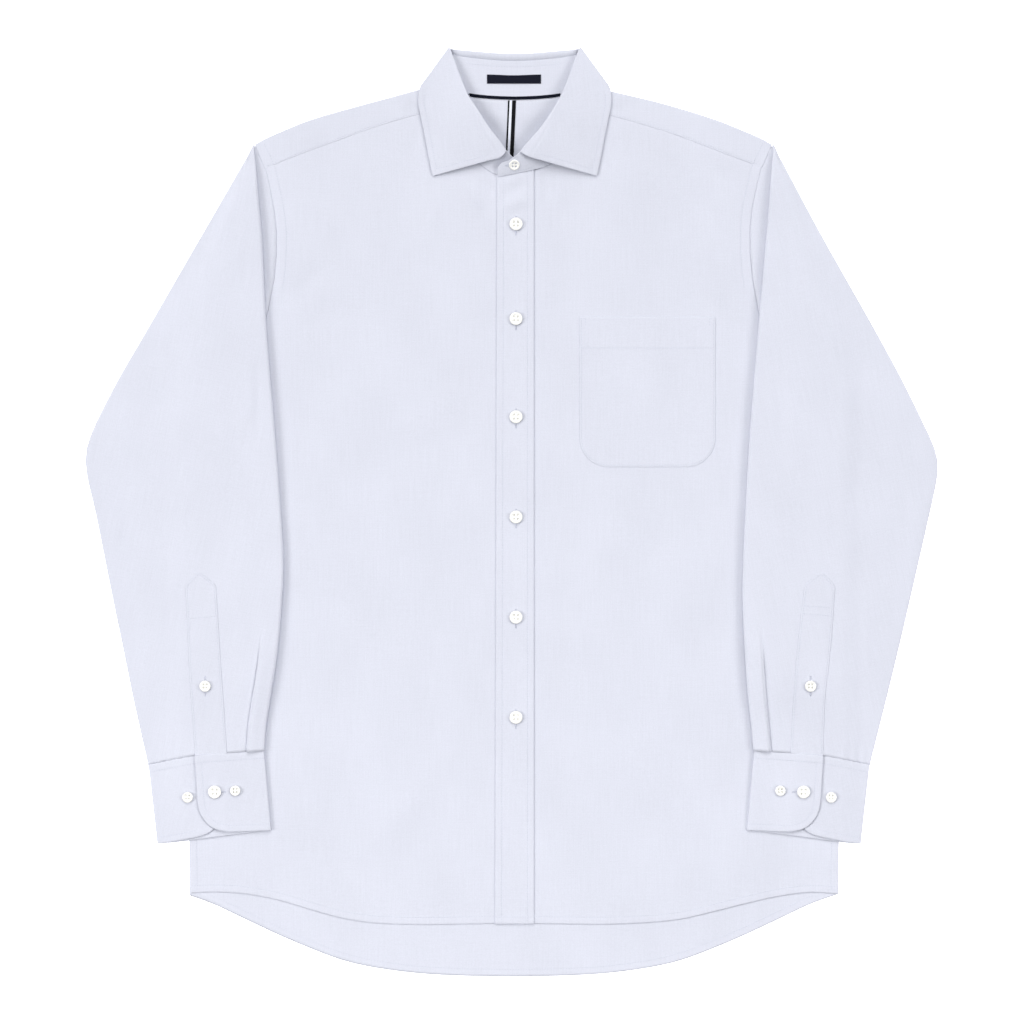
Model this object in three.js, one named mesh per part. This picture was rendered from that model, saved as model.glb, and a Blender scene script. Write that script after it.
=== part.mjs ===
// A long sleeve dress shirt, buttoned and laid flat on its back, in millimetres.
// X runs across the shirt, Y from the tail to the collar, Z up from the surface it lies on.
// A distance is measured outward from the centre line, so one row serves both sides.
import * as THREE from 'three';

// Cloth and layers
const WALL = 1.0;
const GAP = 0.3;
const LAYER = WALL + GAP;
const TRIM_WALL = 0.6;
const CUFF_LAYER = 1.5;
const SEAM_GAP = GAP + 0.1;
const FOLD_STEPS = 4;
const ABOVE_ALL = 100;

// Body
const UNDERARM_Y = 114;
const BACK_SEAM_Y = 272;
const BACK_COLUMNS = 18;
const FRONT_EDGE = { left: -14.6, right: 16.2 };

// Collar
const COLLAR_X = 2.7;
const COLLAR_CENTRE_Y = 345;
const STAND_CELLS = 4;
const COLLAR_RISE_FADE = 16;
const RISE_START = 6;
const LEAF_CLEARANCE = 0.3;

// Sleeves
const SHOULDER_Y = 330;
const CAP_START_Y = 318;
const ROLL_REACH = 70;
const FULL_REACH = 160;
const CUFF_REACH = { start: -150, length: 60, roll: 0.6 };
const PLEAT_REACH = { start: -100, length: 100 };
const CAP_FADE = 24;
const CAP_OVERLAP = 2;
const RAMP = 22;
const SEAM_OUT = 2.4;
const SEAM_CLIMB = 30;
const EDGE_ROLL = 1.6;
const CROWN = 1.1;
const PLEAT_OFFSET = 15.5;
const PLEAT_HEIGHT = 1.6;
const CAP_TIP = { y: 328, out: 232 };

// Front placket and pocket
const PLACKET = { left: -13.3, right: 20, hemLeft: -15.1, hemY: -370.2, topLeftY: 302.1, topRightY: 308.0 };
const PLACKET_GRID = { rows: 14, columns: 3 };
const POCKET = { left: 60.9, right: 183.1, top: 175.6, bottom: 40.6, corner: 26 };
const POCKET_GRID = { straightRows: 4, cornerRows: 5, columns: 6 };

// Trim inside the neck
const LABEL = { left: -22.3, right: 26.3, top: 393.4, bottom: 385.2 };
const TAPE = { left: -38, right: 43.5, width: 2.8 };
const RIBBON = { width: 7.2, topX: 0.2, bottomX: -2.3, topY: 370.2, bottomY: 312 };

// Buttons
const BUTTON = { front: 11.6, collar: 9.6, placket: 10.0, main: 11.6, inner: 9.2, outer: 9.6, thickness: 2.2 };
const BUTTON_PROFILE = [
  { radius: 0, height: 0 },
  { radius: 0.8, height: 0 },
  { radius: 1, height: 0.45 },
  { radius: 0.9, height: 1 },
  { radius: 0.66, height: 0.72 },
  { radius: 0, height: 0.66 },
];
const COLLAR_BUTTON = { x: 2.3, y: 311.4 };
const FRONT_BUTTON_X = 3.8;
const FRONT_BUTTON_Y = [258.9, 173.8, 85.6, -4.4, -94.4, -184.4];
const BUTTON_SIDES = 16;

const CLOTH = { color: 0xe4e8f5, roughness: 0.85, metalness: 0.0 };
const TRIM = { color: 0x15182c, roughness: 0.7, metalness: 0.0 };
const PEARL = { color: 0xf6f5f0, roughness: 0.3, metalness: 0.0 };

const SIDES = [
  { name: 'left', sign: -1 },
  { name: 'right', sign: 1 },
];

// Side seam and front armhole, from the hem up to the yoke seam, as distances
const SIDE_EDGE = [
  { y: -343, left: 289.6, right: 293.6, back: 0 },
  { y: -296, left: 290.0, right: 294.0, back: 0 },
  { y: -220, left: 289.5, right: 293.3, back: 0 },
  { y: -140, left: 289.0, right: 292.5, back: 0 },
  { y: -60, left: 289.3, right: 291.8, back: 0 },
  { y: 20, left: 290.5, right: 291.8, back: 0 },
  { y: 80, left: 291.8, right: 292.4, back: 0 },
  { y: 114, left: 292.3, right: 292.7, back: 0 },
  { y: 126, left: 255.5, right: 256.7, back: 11 },
  { y: 150, left: 231.0, right: 232.4, back: 20 },
  { y: 180, left: 219.4, right: 221.8, back: 23 },
  { y: 209, left: 213.5, right: 216.5, back: 24 },
  { y: 231, left: 211.3, right: 214.3, back: 23.5 },
  { y: 253, left: 211.3, right: 214.0, back: 21 },
  { y: 272, left: 213.5, right: 215.7, back: 17.5 },
  { y: 297, left: 218.5, right: 221.0, back: 12 },
  { y: 310, left: 222.0, right: 224.7, back: 9 },
  { y: SHOULDER_Y, left: 231.2, right: 234.4, back: 0 },
];
const YOKE_SEAM_ROW = 16;
const BACK_SEAM_ROW = 14;

// Front hem and back tail hem
const HEM = [
  { x: 0, left: -369.4, right: -369.6, back: -417.7 },
  { x: 45, left: -370.4, right: -370.3, back: -417.0 },
  { x: 84, left: -370.8, right: -370.6, back: -414.8 },
  { x: 123, left: -369.4, right: -369.0, back: -409.7 },
  { x: 152, left: -365.2, right: -366.0, back: -403.1 },
  { x: 181, left: -357.3, right: -359.4, back: -392.4 },
  { x: 211, left: -348.5, right: -352.0, back: -379.6 },
  { x: 240, left: -343.2, right: -345.5, back: -366.0 },
  { x: 268, left: -341.5, right: -342.0, back: -352.8 },
  { x: 294, left: -342.9, right: -343.4, back: -343.4 },
];

// Shoulder silhouette, where the yoke folds over, and the front yoke seam
const SHOULDER = [
  { x: 64, left: 385.2, right: 385.0 },
  { x: 82, left: 380.5, right: 380.3 },
  { x: 132, left: 367.2, right: 368.8 },
  { x: 182, left: 352.8, right: 353.7 },
  { x: 212, left: 340.6, right: 341.8 },
  { x: 224, left: 334.9, right: 336.4 },
  { x: 235, left: 328.7, right: 330.5 },
];
const YOKE_SEAM = [
  { x: 63, left: 363.8, right: 363.6 },
  { x: 89, left: 357.4, right: 357.6 },
  { x: 115, left: 350.0, right: 350.4 },
  { x: 144, left: 339.9, right: 341.5 },
  { x: 172, left: 329.6, right: 331.0 },
  { x: 198, left: 320.0, right: 321.0 },
  { x: 224, left: 309.3, right: 311.5 },
];
const YOKE_STATIONS = [
  { back: 230.6, fold: 230.8, front: 222.2 },
  { back: 212, fold: 213, front: 206 },
  { back: 182, fold: 182, front: 178 },
  { back: 150, fold: 150, front: 148 },
  { back: 118, fold: 118, front: 117 },
  { back: 90, fold: 90, front: 90 },
];
const YOKE_NECK_FOLD = 67.4;
const YOKE_NECK_SEAM = 66.4;

// Neckline of the two fronts and of the yoke, outward from the collar's centre
const FRONT_NECK = [
  { out: 66, left: 362.9, right: 361.6 },
  { out: 63, left: 350.0, right: 350.0 },
  { out: 56, left: 337.0, right: 337.0 },
  { out: 44, left: 323.4, right: 323.4 },
  { out: 30, left: 312.5, right: 312.5 },
  { out: 18, left: 304.6, right: 307.8 },
];
const FRONT_NECK_END = { left: 301.6, right: 306.4 };
const BACK_NECK = [
  { out: 0, y: 372.2 },
  { out: 20, y: 372.9 },
  { out: 40, y: 375.1 },
  { out: 55, y: 379.2 },
  { out: 66, y: 384.0 },
];

// Collar stand, front half, from the shoulder fold round to the front end
const STAND_SIDE = [
  { topOut: 54.0, topY: 408.0, left: 3.4, right: 3.4, neckOut: 66.6, neckY: 378.0 },
  { topOut: 49.0, topY: 396.0, left: 5.0, right: 5.0, neckOut: 66.2, neckY: 366.0 },
  { topOut: 44.0, topY: 377.0, left: 7.2, right: 7.2, neckOut: 63.0, neckY: 350.0 },
  { topOut: 36.0, topY: 362.0, left: 8.6, right: 9.0, neckOut: 56.0, neckY: 337.0 },
  { topOut: 27.5, topY: 349.0, left: 9.2, right: 10.4, neckOut: 44.0, neckY: 323.7 },
  { topOut: 17.5, topY: 336.0, left: 9.2, right: 11.6, neckOut: 30.0, neckY: 313.0 },
];
const STAND_END = {
  left: [
    { topOut: 7.0, topY: 324.0, top: 7.2, neckOut: 17.0, neckY: 304.9, neck: 1.8, bow: 2.2 },
    { topOut: 0.5, topY: 318.0, top: 4.6, neckOut: 2.0, neckY: 303.4, neck: 1.8, bow: 2.2 },
    { topOut: -6.0, topY: 313.6, top: 3.2, neckOut: -7.0, neckY: 303.0, neck: 1.8, bow: 2.2 },
    { topOut: -10.6, topY: 309.0, top: 2.2, neckOut: -10.8, neckY: 303.0, neck: 1.8, bow: 2.2 },
  ],
  right: [
    { topOut: 4.2, topY: 322.4, top: 11.6, neckOut: 16.6, neckY: 308.9, neck: 3.2, bow: 1 },
    { topOut: -1.5, topY: 318.0, top: 10.0, neckOut: 6.5, neckY: 306.7, neck: 3.3, bow: 1 },
    { topOut: -6.0, topY: 315.0, top: 8.8, neckOut: -3.0, neckY: 304.8, neck: 3.3, bow: 1 },
    { topOut: -11.8, topY: 313.2, top: 7.8, neckOut: -11.0, neckY: 303.2, neck: 3.3, bow: 1 },
    { topOut: -15.2, topY: 309.6, top: 6.2, neckOut: -15.1, neckY: 302.8, neck: 3.3, bow: 1 },
  ],
};
const STAND_BACK = [
  { neckOut: 52, topOut: 46, topY: 409.4 },
  { neckOut: 36, topOut: 34, topY: 407.9 },
  { neckOut: 18, topOut: 17, topY: 406.3 },
  { neckOut: 0, topOut: 0, topY: 405.7 },
];
const STAND_CREASE = { innerOut: 66.2, innerY: 384.6, outerOut: 54.6, outerY: 411.0 };

// Collar leaf: under the neck at the back, folded over each shoulder to the front points
const LEAF_FRONT = [
  { foldOut: 57.6, foldY: 415.0, left: 4.9, right: 4.9, edgeOut: 86.4, edgeY: 377.0 },
  { foldOut: 51.6, foldY: 399.0, left: 6.9, right: 6.9, edgeOut: 86.6, edgeY: 366.0 },
  { foldOut: 43.2, foldY: 376.3, left: 9.1, right: 9.2, edgeOut: 83.4, edgeY: 350.0 },
  { foldOut: 36.8, foldY: 361.5, left: 10.6, right: 11.2, edgeOut: 80.4, edgeY: 335.0 },
  { foldOut: 29.0, foldY: 343.5, left: 11.0, right: 12.4, edgeOut: 77.6, edgeY: 320.0 },
  { foldOut: 21.0, foldY: 330.0, left: 10.6, right: 12.8, edgeOut: 75.4, edgeY: 309.0 },
  { foldOut: 12.8, foldY: 318.0, left: 9.0, right: 12.0, edgeOut: 73.8, edgeY: 302.0 },
];
const LEAF_BACK = [
  { foldOut: 45, foldY: 415.6, edgeOut: 66, edgeY: 373.2 },
  { foldOut: 32, foldY: 414.4, edgeOut: 42, edgeY: 367.6 },
  { foldOut: 16, foldY: 413.2, edgeOut: 20, edgeY: 364.8 },
  { foldOut: 0, foldY: 412.8, edgeOut: 0, edgeY: 364.0 },
];
const LEAF_CREASE = { innerOut: 58, innerY: 416.6, outerOut: 83.4, outerY: 382.0, high: 4.7 };
const LEAF_CELLS = 6;

// Sleeve outline: the outer fold and the inner fold
const SLEEVE_OUTER = [
  { y: SHOULDER_Y, left: 232.2, right: 235.3 },
  { y: 246, left: 281.0, right: 280.6 },
  { y: 164, left: 328.3, right: 326.9 },
  { y: 119, left: 354.4, right: 351.2 },
  { y: 80, left: 374.3, right: 370.4 },
  { y: 64, left: 380.9, right: 377.9 },
  { y: 52, left: 383.6, right: 382.1 },
  { y: 40, left: 383.4, right: 383.7 },
  { y: 28, left: 381.4, right: 382.3 },
  { y: 0, left: 374.8, right: 376.4 },
  { y: -79, left: 358.9, right: 358.4 },
  { y: -117, left: 351.0, right: 349.6 },
  { y: -172, left: 339.8, right: 336.2 },
  { y: -227, left: 327.4, right: 322.4 },
];
const SLEEVE_INNER = [
  { y: SHOULDER_Y, left: 232.0, right: 235.2 },
  { y: 309, left: 229.3, right: 232.9 },
  { y: 277, left: 226.6, right: 230.5 },
  { y: 246, left: 223.9, right: 227.9 },
  { y: 164, left: 219.8, right: 220.8 },
  { y: 71, left: 212.2, right: 213.3 },
  { y: 16, left: 208.1, right: 210.0 },
  { y: -42, left: 204.7, right: 207.3 },
  { y: -79, left: 205.9, right: 206.8 },
  { y: -129, left: 210.4, right: 209.0 },
  { y: -164, left: 215.8, right: 211.6 },
  { y: -190, left: 220.0, right: 214.4 },
  { y: -213, left: 221.8, right: 216.5 },
];
const CAP_ROWS = [322, 310, 297, 272, 253, 231, 209, 180, 150, 126, 118];
const ARM_ROWS = [
  { outer: 113.8, inner: 113.8 },
  { outer: 104, inner: 104 },
  { outer: 86, inner: 86 },
  { outer: 66, inner: 66 },
  { outer: 52, inner: 52 },
  { outer: 40, inner: 40 },
  { outer: 26, inner: 26 },
  { outer: 0, inner: 0 },
  { outer: -36, inner: -36 },
  { outer: -74, inner: -72 },
  { outer: -110, inner: -106 },
  { outer: -142, inner: -136 },
  { outer: -172, inner: -164 },
  { outer: -200, inner: -189 },
  { outer: -226.2, inner: -212.6 },
];
const LOWER_FRACTIONS = [0, 0.12, 0.26, 0.55, 1];
const UPPER_FRACTIONS = [0, 0.25, 0.42, 0.6, 1];
const STRIP_FRACTIONS = [0, 0.5, 1];
const PLEAT_SHAPE = [0, 0, 1, 0.15, 0];
const PLEAT_SPREAD = 2.4;

// Cuff stations round the wrist, from the hidden under end to the rounded overlap end
const CUFF = [
  { layer: 1, top: 262, bottom: 262, low: -262 },
  { layer: 1, top: 262.6, bottom: 264, low: -276 },
  { layer: 1, top: 266, bottom: 268, low: -284.6 },
  { layer: 1, top: 275, bottom: 275, low: -289.4 },
  { layer: 1, top: 285, bottom: 284, low: -292 },
  { layer: 1, top: 300, bottom: 298, low: -294.8 },
  { layer: 1, top: 314, bottom: 308, low: -296.6 },
  { layer: 1, top: 326.4, bottom: 318.4, low: -298.2 },
  { layer: 0, top: 314, bottom: 308, low: -297.4 },
  { layer: 0, top: 300, bottom: 298, low: -296.2 },
  { layer: 0, top: 285, bottom: 284, low: -294.3 },
  { layer: 0, top: 262, bottom: 262, low: -291.4 },
  { layer: 0, top: 240, bottom: 238, low: -288.4 },
  { layer: 0, top: 222.9, bottom: 216.6, low: -285.8 },
  { layer: 1, top: 240, bottom: 236, low: -286.6 },
  { layer: 1.4, top: 252, bottom: 248, low: -287 },
  { layer: 2, top: 262, bottom: 256, low: -286.6 },
  { layer: 2, top: 270, bottom: 264.5, low: -285 },
  { layer: 2, top: 277, bottom: 271.5, low: -281.2 },
  { layer: 2, top: 281.5, bottom: 277, low: -275 },
  { layer: 2, top: 283.8, bottom: 280.6, low: -267 },
  { layer: 2, top: 284.5, bottom: 282.2, low: -256 },
];
const CUFF_FOLDS = [7, 13];
const CUFF_TOP = [
  { out: 216, y: -213.4 },
  { out: 256, y: -215.9 },
  { out: 285, y: -218.5 },
  { out: 328, y: -227.1 },
];
const CUFF_SHIFT = { left: 0, right: -5 };
const CUFF_ROWS = 4;

const SLEEVE_PLACKET = [
  { y: -54.6, drop: 0, leftOut: 282.4, leftIn: 279.2, rightOut: 279.0, rightIn: 275.8 },
  { y: -63.4, drop: 1, leftOut: 291.6, leftIn: 267.4, rightOut: 288.8, rightIn: 264.6 },
  { y: -67, drop: 1.5, leftOut: 292.8, leftIn: 265.2, rightOut: 290.0, rightIn: 262.4 },
  { y: -100, drop: 2, leftOut: 291.2, leftIn: 263.2, rightOut: 287.6, rightIn: 258.4 },
  { y: -130, drop: 2, leftOut: 289.8, leftIn: 261.4, rightOut: 285.0, rightIn: 255.4 },
  { y: -164, drop: 2, leftOut: 288.0, leftIn: 259.0, rightOut: 281.2, rightIn: 252.8 },
  { y: -190, drop: 2.2, leftOut: 286.2, leftIn: 257.4, rightOut: 280.2, rightIn: 251.4 },
  { y: -215.0, drop: 2.4, leftOut: 284.3, leftIn: 255.8, rightOut: 279.4, rightIn: 250.4 },
];

// Buttons on each sleeve, as distances on the left side
const SLEEVE_BUTTONS = [
  { name: 'placket', out: { left: 274.9, right: 267.9 }, y: -156, size: BUTTON.placket },
  { name: 'cuff_main', out: { left: 266.5, right: 261.8 }, y: -251, size: BUTTON.main },
  { name: 'cuff_inner', out: { left: 248.2, right: 241.1 }, y: -250, size: BUTTON.inner },
  { name: 'cuff_outer', out: { left: 291.0, right: 286.7 }, y: -256, size: BUTTON.outer },
];

const shirt = new THREE.Group();

// Height of the middle of the cloth in the layer with this number, counted from the surface
function level(number) {
  return WALL / 2 + number * LAYER;
}

function mix(a, b, share) {
  return a + (b - a) * share;
}

function ease(value) {
  const t = Math.min(1, Math.max(0, value));
  return t * t * (3 - 2 * t);
}

// Value of one column of a table where another column has a given value
function lookUp(rows, input, output, value, smooth = true) {
  const list = rows[0][input] < rows[rows.length - 1][input] ? rows : [...rows].reverse();
  const last = list.length - 1;
  if (value <= list[0][input]) return list[0][output];
  if (value >= list[last][input]) return list[last][output];
  let k = 0;
  while (value > list[k + 1][input]) k += 1;
  const width = list[k + 1][input] - list[k][input];
  const t = (value - list[k][input]) / width;
  const from = list[k][output];
  const to = list[k + 1][output];
  if (!smooth) return mix(from, to, t);
  const slope = (a, b) => (list[b][output] - list[a][output]) / (list[b][input] - list[a][input]);
  const startSlope = slope(Math.max(k - 1, 0), k + 1) * width;
  const endSlope = slope(k, Math.min(k + 2, last)) * width;
  const t2 = t * t;
  const t3 = t2 * t;
  return from * (2 * t3 - 3 * t2 + 1) + to * (3 * t2 - 2 * t3)
    + startSlope * (t3 - 2 * t2 + t) + endSlope * (t3 - t2);
}

// Extra height near the neck, where the cloth lies over the back of the collar leaf
function neckRise(x, y) {
  const out = Math.abs(x - COLLAR_X);
  const below = Math.max(0, leafEdgeY(x) - RISE_START - y);
  const beside = Math.max(0, out - LEAF_CREASE.outerOut - RISE_START * 2);
  return LAYER * (1 - ease(Math.hypot(below, beside) / COLLAR_RISE_FADE));
}

// Closed wall of cloth round a grid of middle points; cells with a missing corner are left out
function clothWall(grid, thickness = WALL) {
  const rows = grid.length;
  const columns = grid[0].length;
  const at = (i, j) => (i >= 0 && i < rows && j >= 0 && j < columns ? grid[i][j] : null);
  const index = new Map();
  const positions = [];
  const tangent = (before, here, after) => (after ?? here).clone().sub(before ?? here);
  for (let i = 0; i < rows; i += 1) {
    for (let j = 0; j < columns; j += 1) {
      const point = at(i, j);
      if (!point) continue;
      const across = tangent(at(i - 1, j), point, at(i + 1, j));
      const along = tangent(at(i, j - 1), point, at(i, j + 1));
      const normal = across.cross(along).normalize().multiplyScalar(thickness / 2);
      index.set(i * columns + j, positions.length / 3);
      positions.push(...point.clone().add(normal).toArray());
      positions.push(...point.clone().sub(normal).toArray());
    }
  }
  const kept = (i, j) => at(i, j) && at(i + 1, j) && at(i + 1, j + 1) && at(i, j + 1);
  const outer = (i, j) => index.get(i * columns + j);
  const faces = [];
  const quad = (a, b, c, d) => faces.push(a, b, c, a, c, d);
  const side = (a, b) => quad(a, a + 1, b + 1, b);
  for (let i = 0; i < rows - 1; i += 1) {
    for (let j = 0; j < columns - 1; j += 1) {
      if (!kept(i, j)) continue;
      const [a, b, c, d] = [outer(i, j), outer(i + 1, j), outer(i + 1, j + 1), outer(i, j + 1)];
      quad(a, b, c, d);
      quad(a + 1, d + 1, c + 1, b + 1);
      if (!kept(i, j - 1)) side(a, b);
      if (!kept(i + 1, j)) side(b, c);
      if (!kept(i, j + 1)) side(c, d);
      if (!kept(i - 1, j)) side(d, a);
    }
  }
  const geometry = new THREE.BufferGeometry();
  geometry.setAttribute('position', new THREE.Float32BufferAttribute(positions, 3));
  geometry.setIndex(facingOut(positions, faces));
  geometry.computeVertexNormals();
  return geometry;
}

// The same faces, turned round if they enclose a negative volume
function facingOut(positions, faces) {
  const corner = (k) => new THREE.Vector3().fromArray(positions, faces[k] * 3);
  let volume = 0;
  for (let k = 0; k < faces.length; k += 3) {
    volume += corner(k).dot(corner(k + 1).cross(corner(k + 2)));
  }
  return volume < 0 ? [...faces].reverse() : faces;
}

function addPiece(name, geometry, finish) {
  const mesh = new THREE.Mesh(geometry, new THREE.MeshStandardMaterial(finish));
  mesh.name = name;
  shirt.add(mesh);
  mesh.updateMatrixWorld();
  return mesh;
}

// Where a vertical line first meets a piece from above: the point and its upward normal
function topOf(mesh, x, y) {
  const ray = new THREE.Raycaster(new THREE.Vector3(x, y, ABOVE_ALL), new THREE.Vector3(0, 0, -1));
  const [hit] = ray.intersectObject(mesh);
  return { point: hit.point, normal: hit.face.normal.clone() };
}

// Grid of points inside four edges, each a list of [x, y], blended from all four
function fill(bottom, top, outer, inner, shares, height) {
  return outer.map((edge, i) => bottom.map((base, j) => {
    const v = shares[i];
    const u = j / (bottom.length - 1);
    const [x, y] = [0, 1].map((axis) => {
      const upright = mix(bottom[j][axis], top[j][axis], v);
      const across = mix(edge[axis], inner[i][axis], u);
      const start = mix(bottom[0][axis], bottom[bottom.length - 1][axis], u);
      const end = mix(top[0][axis], top[top.length - 1][axis], u);
      return upright + across - mix(start, end, v);
    });
    return new THREE.Vector3(x, y, height(x, y));
  }));
}

function bodyEdge(side, y) {
  return lookUp(SIDE_EDGE, 'y', side.name, y, false);
}

function backArmhole(side, y) {
  return bodyEdge(side, y) + lookUp(SIDE_EDGE, 'y', 'back', y, false);
}

function makeBack() {
  const rows = SIDE_EDGE.slice(0, BACK_SEAM_ROW + 1);
  const edge = SIDES.map((side) => rows.map((row) => {
    return [side.sign * (row[side.name] + row.back), Math.min(row.y, BACK_SEAM_Y)];
  }));
  const shares = rows.map((row) => (row.y - rows[0].y) / (BACK_SEAM_Y - rows[0].y));
  const across = (ends, low) => Array.from({ length: BACK_COLUMNS + 1 }, (_, j) => {
    const x = mix(ends[0], ends[1], j / BACK_COLUMNS);
    return [x, low(x)];
  });
  const first = edge.map((side) => side[0][0]);
  const last = edge.map((side) => side[side.length - 1][0]);
  const hem = across(first, (x) => lookUp(HEM, 'x', 'back', Math.abs(x)));
  const seam = across(last, () => BACK_SEAM_Y);
  edge[0][0] = hem[0];
  edge[1][0] = hem[BACK_COLUMNS];
  const grid = fill(hem, seam, edge[0], edge[1], shares, () => level(0));
  addPiece('back', clothWall(grid), CLOTH);
}

function makeFront(side) {
  const rows = SIDE_EDGE.slice(0, YOKE_SEAM_ROW + 1);
  const low = rows[0].y;
  const high = rows[YOKE_SEAM_ROW].y;
  const shares = rows.map((row) => (row.y - low) / (high - low));
  const centre = COLLAR_X * side.sign;
  const seam = [...YOKE_SEAM].reverse().slice(0, -1).map((row) => [row.x, row[side.name] - GAP]);
  seam[0] = [rows[YOKE_SEAM_ROW][side.name], seam[0][1]];
  const neck = FRONT_NECK.map((row) => [row.out + centre, row[side.name]]);
  const top = [...seam, ...neck, [FRONT_EDGE[side.name], FRONT_NECK_END[side.name]]];
  const outer = rows.map((row) => [row[side.name], row.y]);
  const bottom = top.map((_, j) => {
    const out = mix(outer[0][0], FRONT_EDGE[side.name], j / (top.length - 1));
    return [out, lookUp(HEM, 'x', side.name, Math.max(out, 0))];
  });
  outer[0] = bottom[0];
  outer[YOKE_SEAM_ROW] = top[0];
  const inner = shares.map((share) => {
    return [FRONT_EDGE[side.name], mix(bottom[bottom.length - 1][1], FRONT_NECK_END[side.name], share)];
  });
  const grid = fill(bottom, top, outer, inner, shares, () => 0);
  grid.flat().forEach((point) => {
    point.x *= side.sign;
    point.z = level(1) + neckRise(point.x, point.y);
  });
  return addPiece(`front_${side.name}`, clothWall(grid), CLOTH);
}

function leafEdgeY(x) {
  const corner = { edgeOut: LEAF_CREASE.outerOut, edgeY: LEAF_CREASE.outerY };
  return lookUp([corner, ...LEAF_BACK], 'edgeOut', 'edgeY', Math.abs(x - COLLAR_X), false);
}

// Both halves of a table whose last row is in the middle, with the sign of each row's side
function mirrored(rows) {
  const left = rows.map((row) => ({ ...row, sign: -1 }));
  const right = rows.slice(0, -1).reverse().map((row) => ({ ...row, sign: 1 }));
  return [...left, ...right];
}

// Heights up the yoke's back part, closer together where it climbs over the collar leaf
function yokeRows(x, endY) {
  const startY = BACK_SEAM_Y + GAP;
  const reach = Math.min(leafEdgeY(x) - RISE_START, endY - RISE_START);
  const foot = reach - COLLAR_RISE_FADE;
  return [startY, mix(startY, foot, 0.5), foot, mix(foot, reach, 0.5), reach, endY];
}

// One station of the yoke, from its back seam up to the shoulder fold and down to the front seam
function yokeStation(side, back, fold, front) {
  const place = (out, y, layer) => {
    const x = side.sign * out;
    return new THREE.Vector3(x, y, level(layer) + neckRise(x, y));
  };
  const radius = LAYER / 2;
  const foldY = lookUp(SHOULDER, 'x', side.name, fold) - WALL / 2 - radius;
  const seamY = lookUp(YOKE_SEAM, 'x', side.name, front);
  const startY = BACK_SEAM_Y + GAP;
  const under = yokeRows(side.sign * fold, foldY).map((y) => {
    return place(mix(back, fold, (y - startY) / (foldY - startY)), y, 0);
  });
  const turn = Array.from({ length: FOLD_STEPS - 1 }, (_, k) => {
    const angle = Math.PI * (k + 1) / FOLD_STEPS;
    const point = place(fold, foldY, 0);
    point.y += radius * Math.sin(angle);
    point.z += radius * (1 - Math.cos(angle));
    return point;
  });
  const over = [0, 0.33, 0.66, 1].map((t) => place(mix(fold, front, t), mix(foldY, seamY, t), 1));
  return [...under, ...turn, ...over];
}

function makeYoke() {
  const stations = [];
  const shoulder = (side) => {
    const centre = COLLAR_X * side.sign;
    const list = YOKE_STATIONS.map((row) => yokeStation(side, row.back, row.fold, row.front));
    list.push(yokeStation(side, YOKE_NECK_FOLD + centre, YOKE_NECK_FOLD + centre, YOKE_NECK_SEAM + centre));
    return list;
  };
  stations.push(...shoulder(SIDES[0]));
  const length = stations[0].length;
  for (const row of mirrored([...BACK_NECK].reverse().slice(1))) {
    const x = row.sign * row.out + COLLAR_X;
    const under = yokeRows(x, row.y - GAP).map((y) => new THREE.Vector3(x, y, level(0) + neckRise(x, y)));
    stations.push([...under, ...Array(length - under.length).fill(null)]);
  }
  stations.push(...shoulder(SIDES[1]).reverse());
  return addPiece('yoke', clothWall(stations), CLOTH);
}

// Points round a crease from one height to another, bulging away from the crease's inner side
function creaseStations(crease, low, high, cells, side) {
  const fold = new THREE.Vector2(crease.innerOut, crease.innerY);
  const edge = new THREE.Vector2(crease.outerOut, crease.outerY);
  const direction = edge.clone().sub(fold).normalize();
  const outward = new THREE.Vector2(-direction.y, direction.x);
  const radius = (high - low) / 2;
  return Array.from({ length: FOLD_STEPS + 1 }, (_, k) => {
    const angle = Math.PI * k / FOLD_STEPS;
    return Array.from({ length: cells + 1 }, (__, j) => {
      const point = fold.clone().lerp(edge, j / cells);
      point.addScaledVector(outward, radius * (Math.sin(angle) - 1) - WALL / 2);
      const z = low + radius * (1 - Math.cos(angle));
      return new THREE.Vector3(COLLAR_X + side.sign * point.x, point.y, z);
    });
  });
}

// Station between an inner and an outer point; a bow over 1 keeps it low for longer
function ruledStation(inner, outer, cells, bow = 1) {
  return Array.from({ length: cells + 1 }, (_, j) => {
    const point = inner.clone().lerp(outer, j / cells);
    point.z = mix(inner.z, outer.z, (j / cells) ** bow);
    return point;
  });
}

function collarPoint(side, out, y, z) {
  return new THREE.Vector3(COLLAR_X + side.sign * out, y, z);
}

// A neck seam point of the stand, a gap inside the neckline of the body
function standNeck(side, out, y, height) {
  const point = collarPoint(side, out, y, 0);
  const inward = new THREE.Vector3(COLLAR_X, COLLAR_CENTRE_Y, 0).sub(point).setLength(SEAM_GAP);
  point.add(inward);
  point.z = height ?? level(1) + neckRise(point.x, point.y);
  return point;
}

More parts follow.
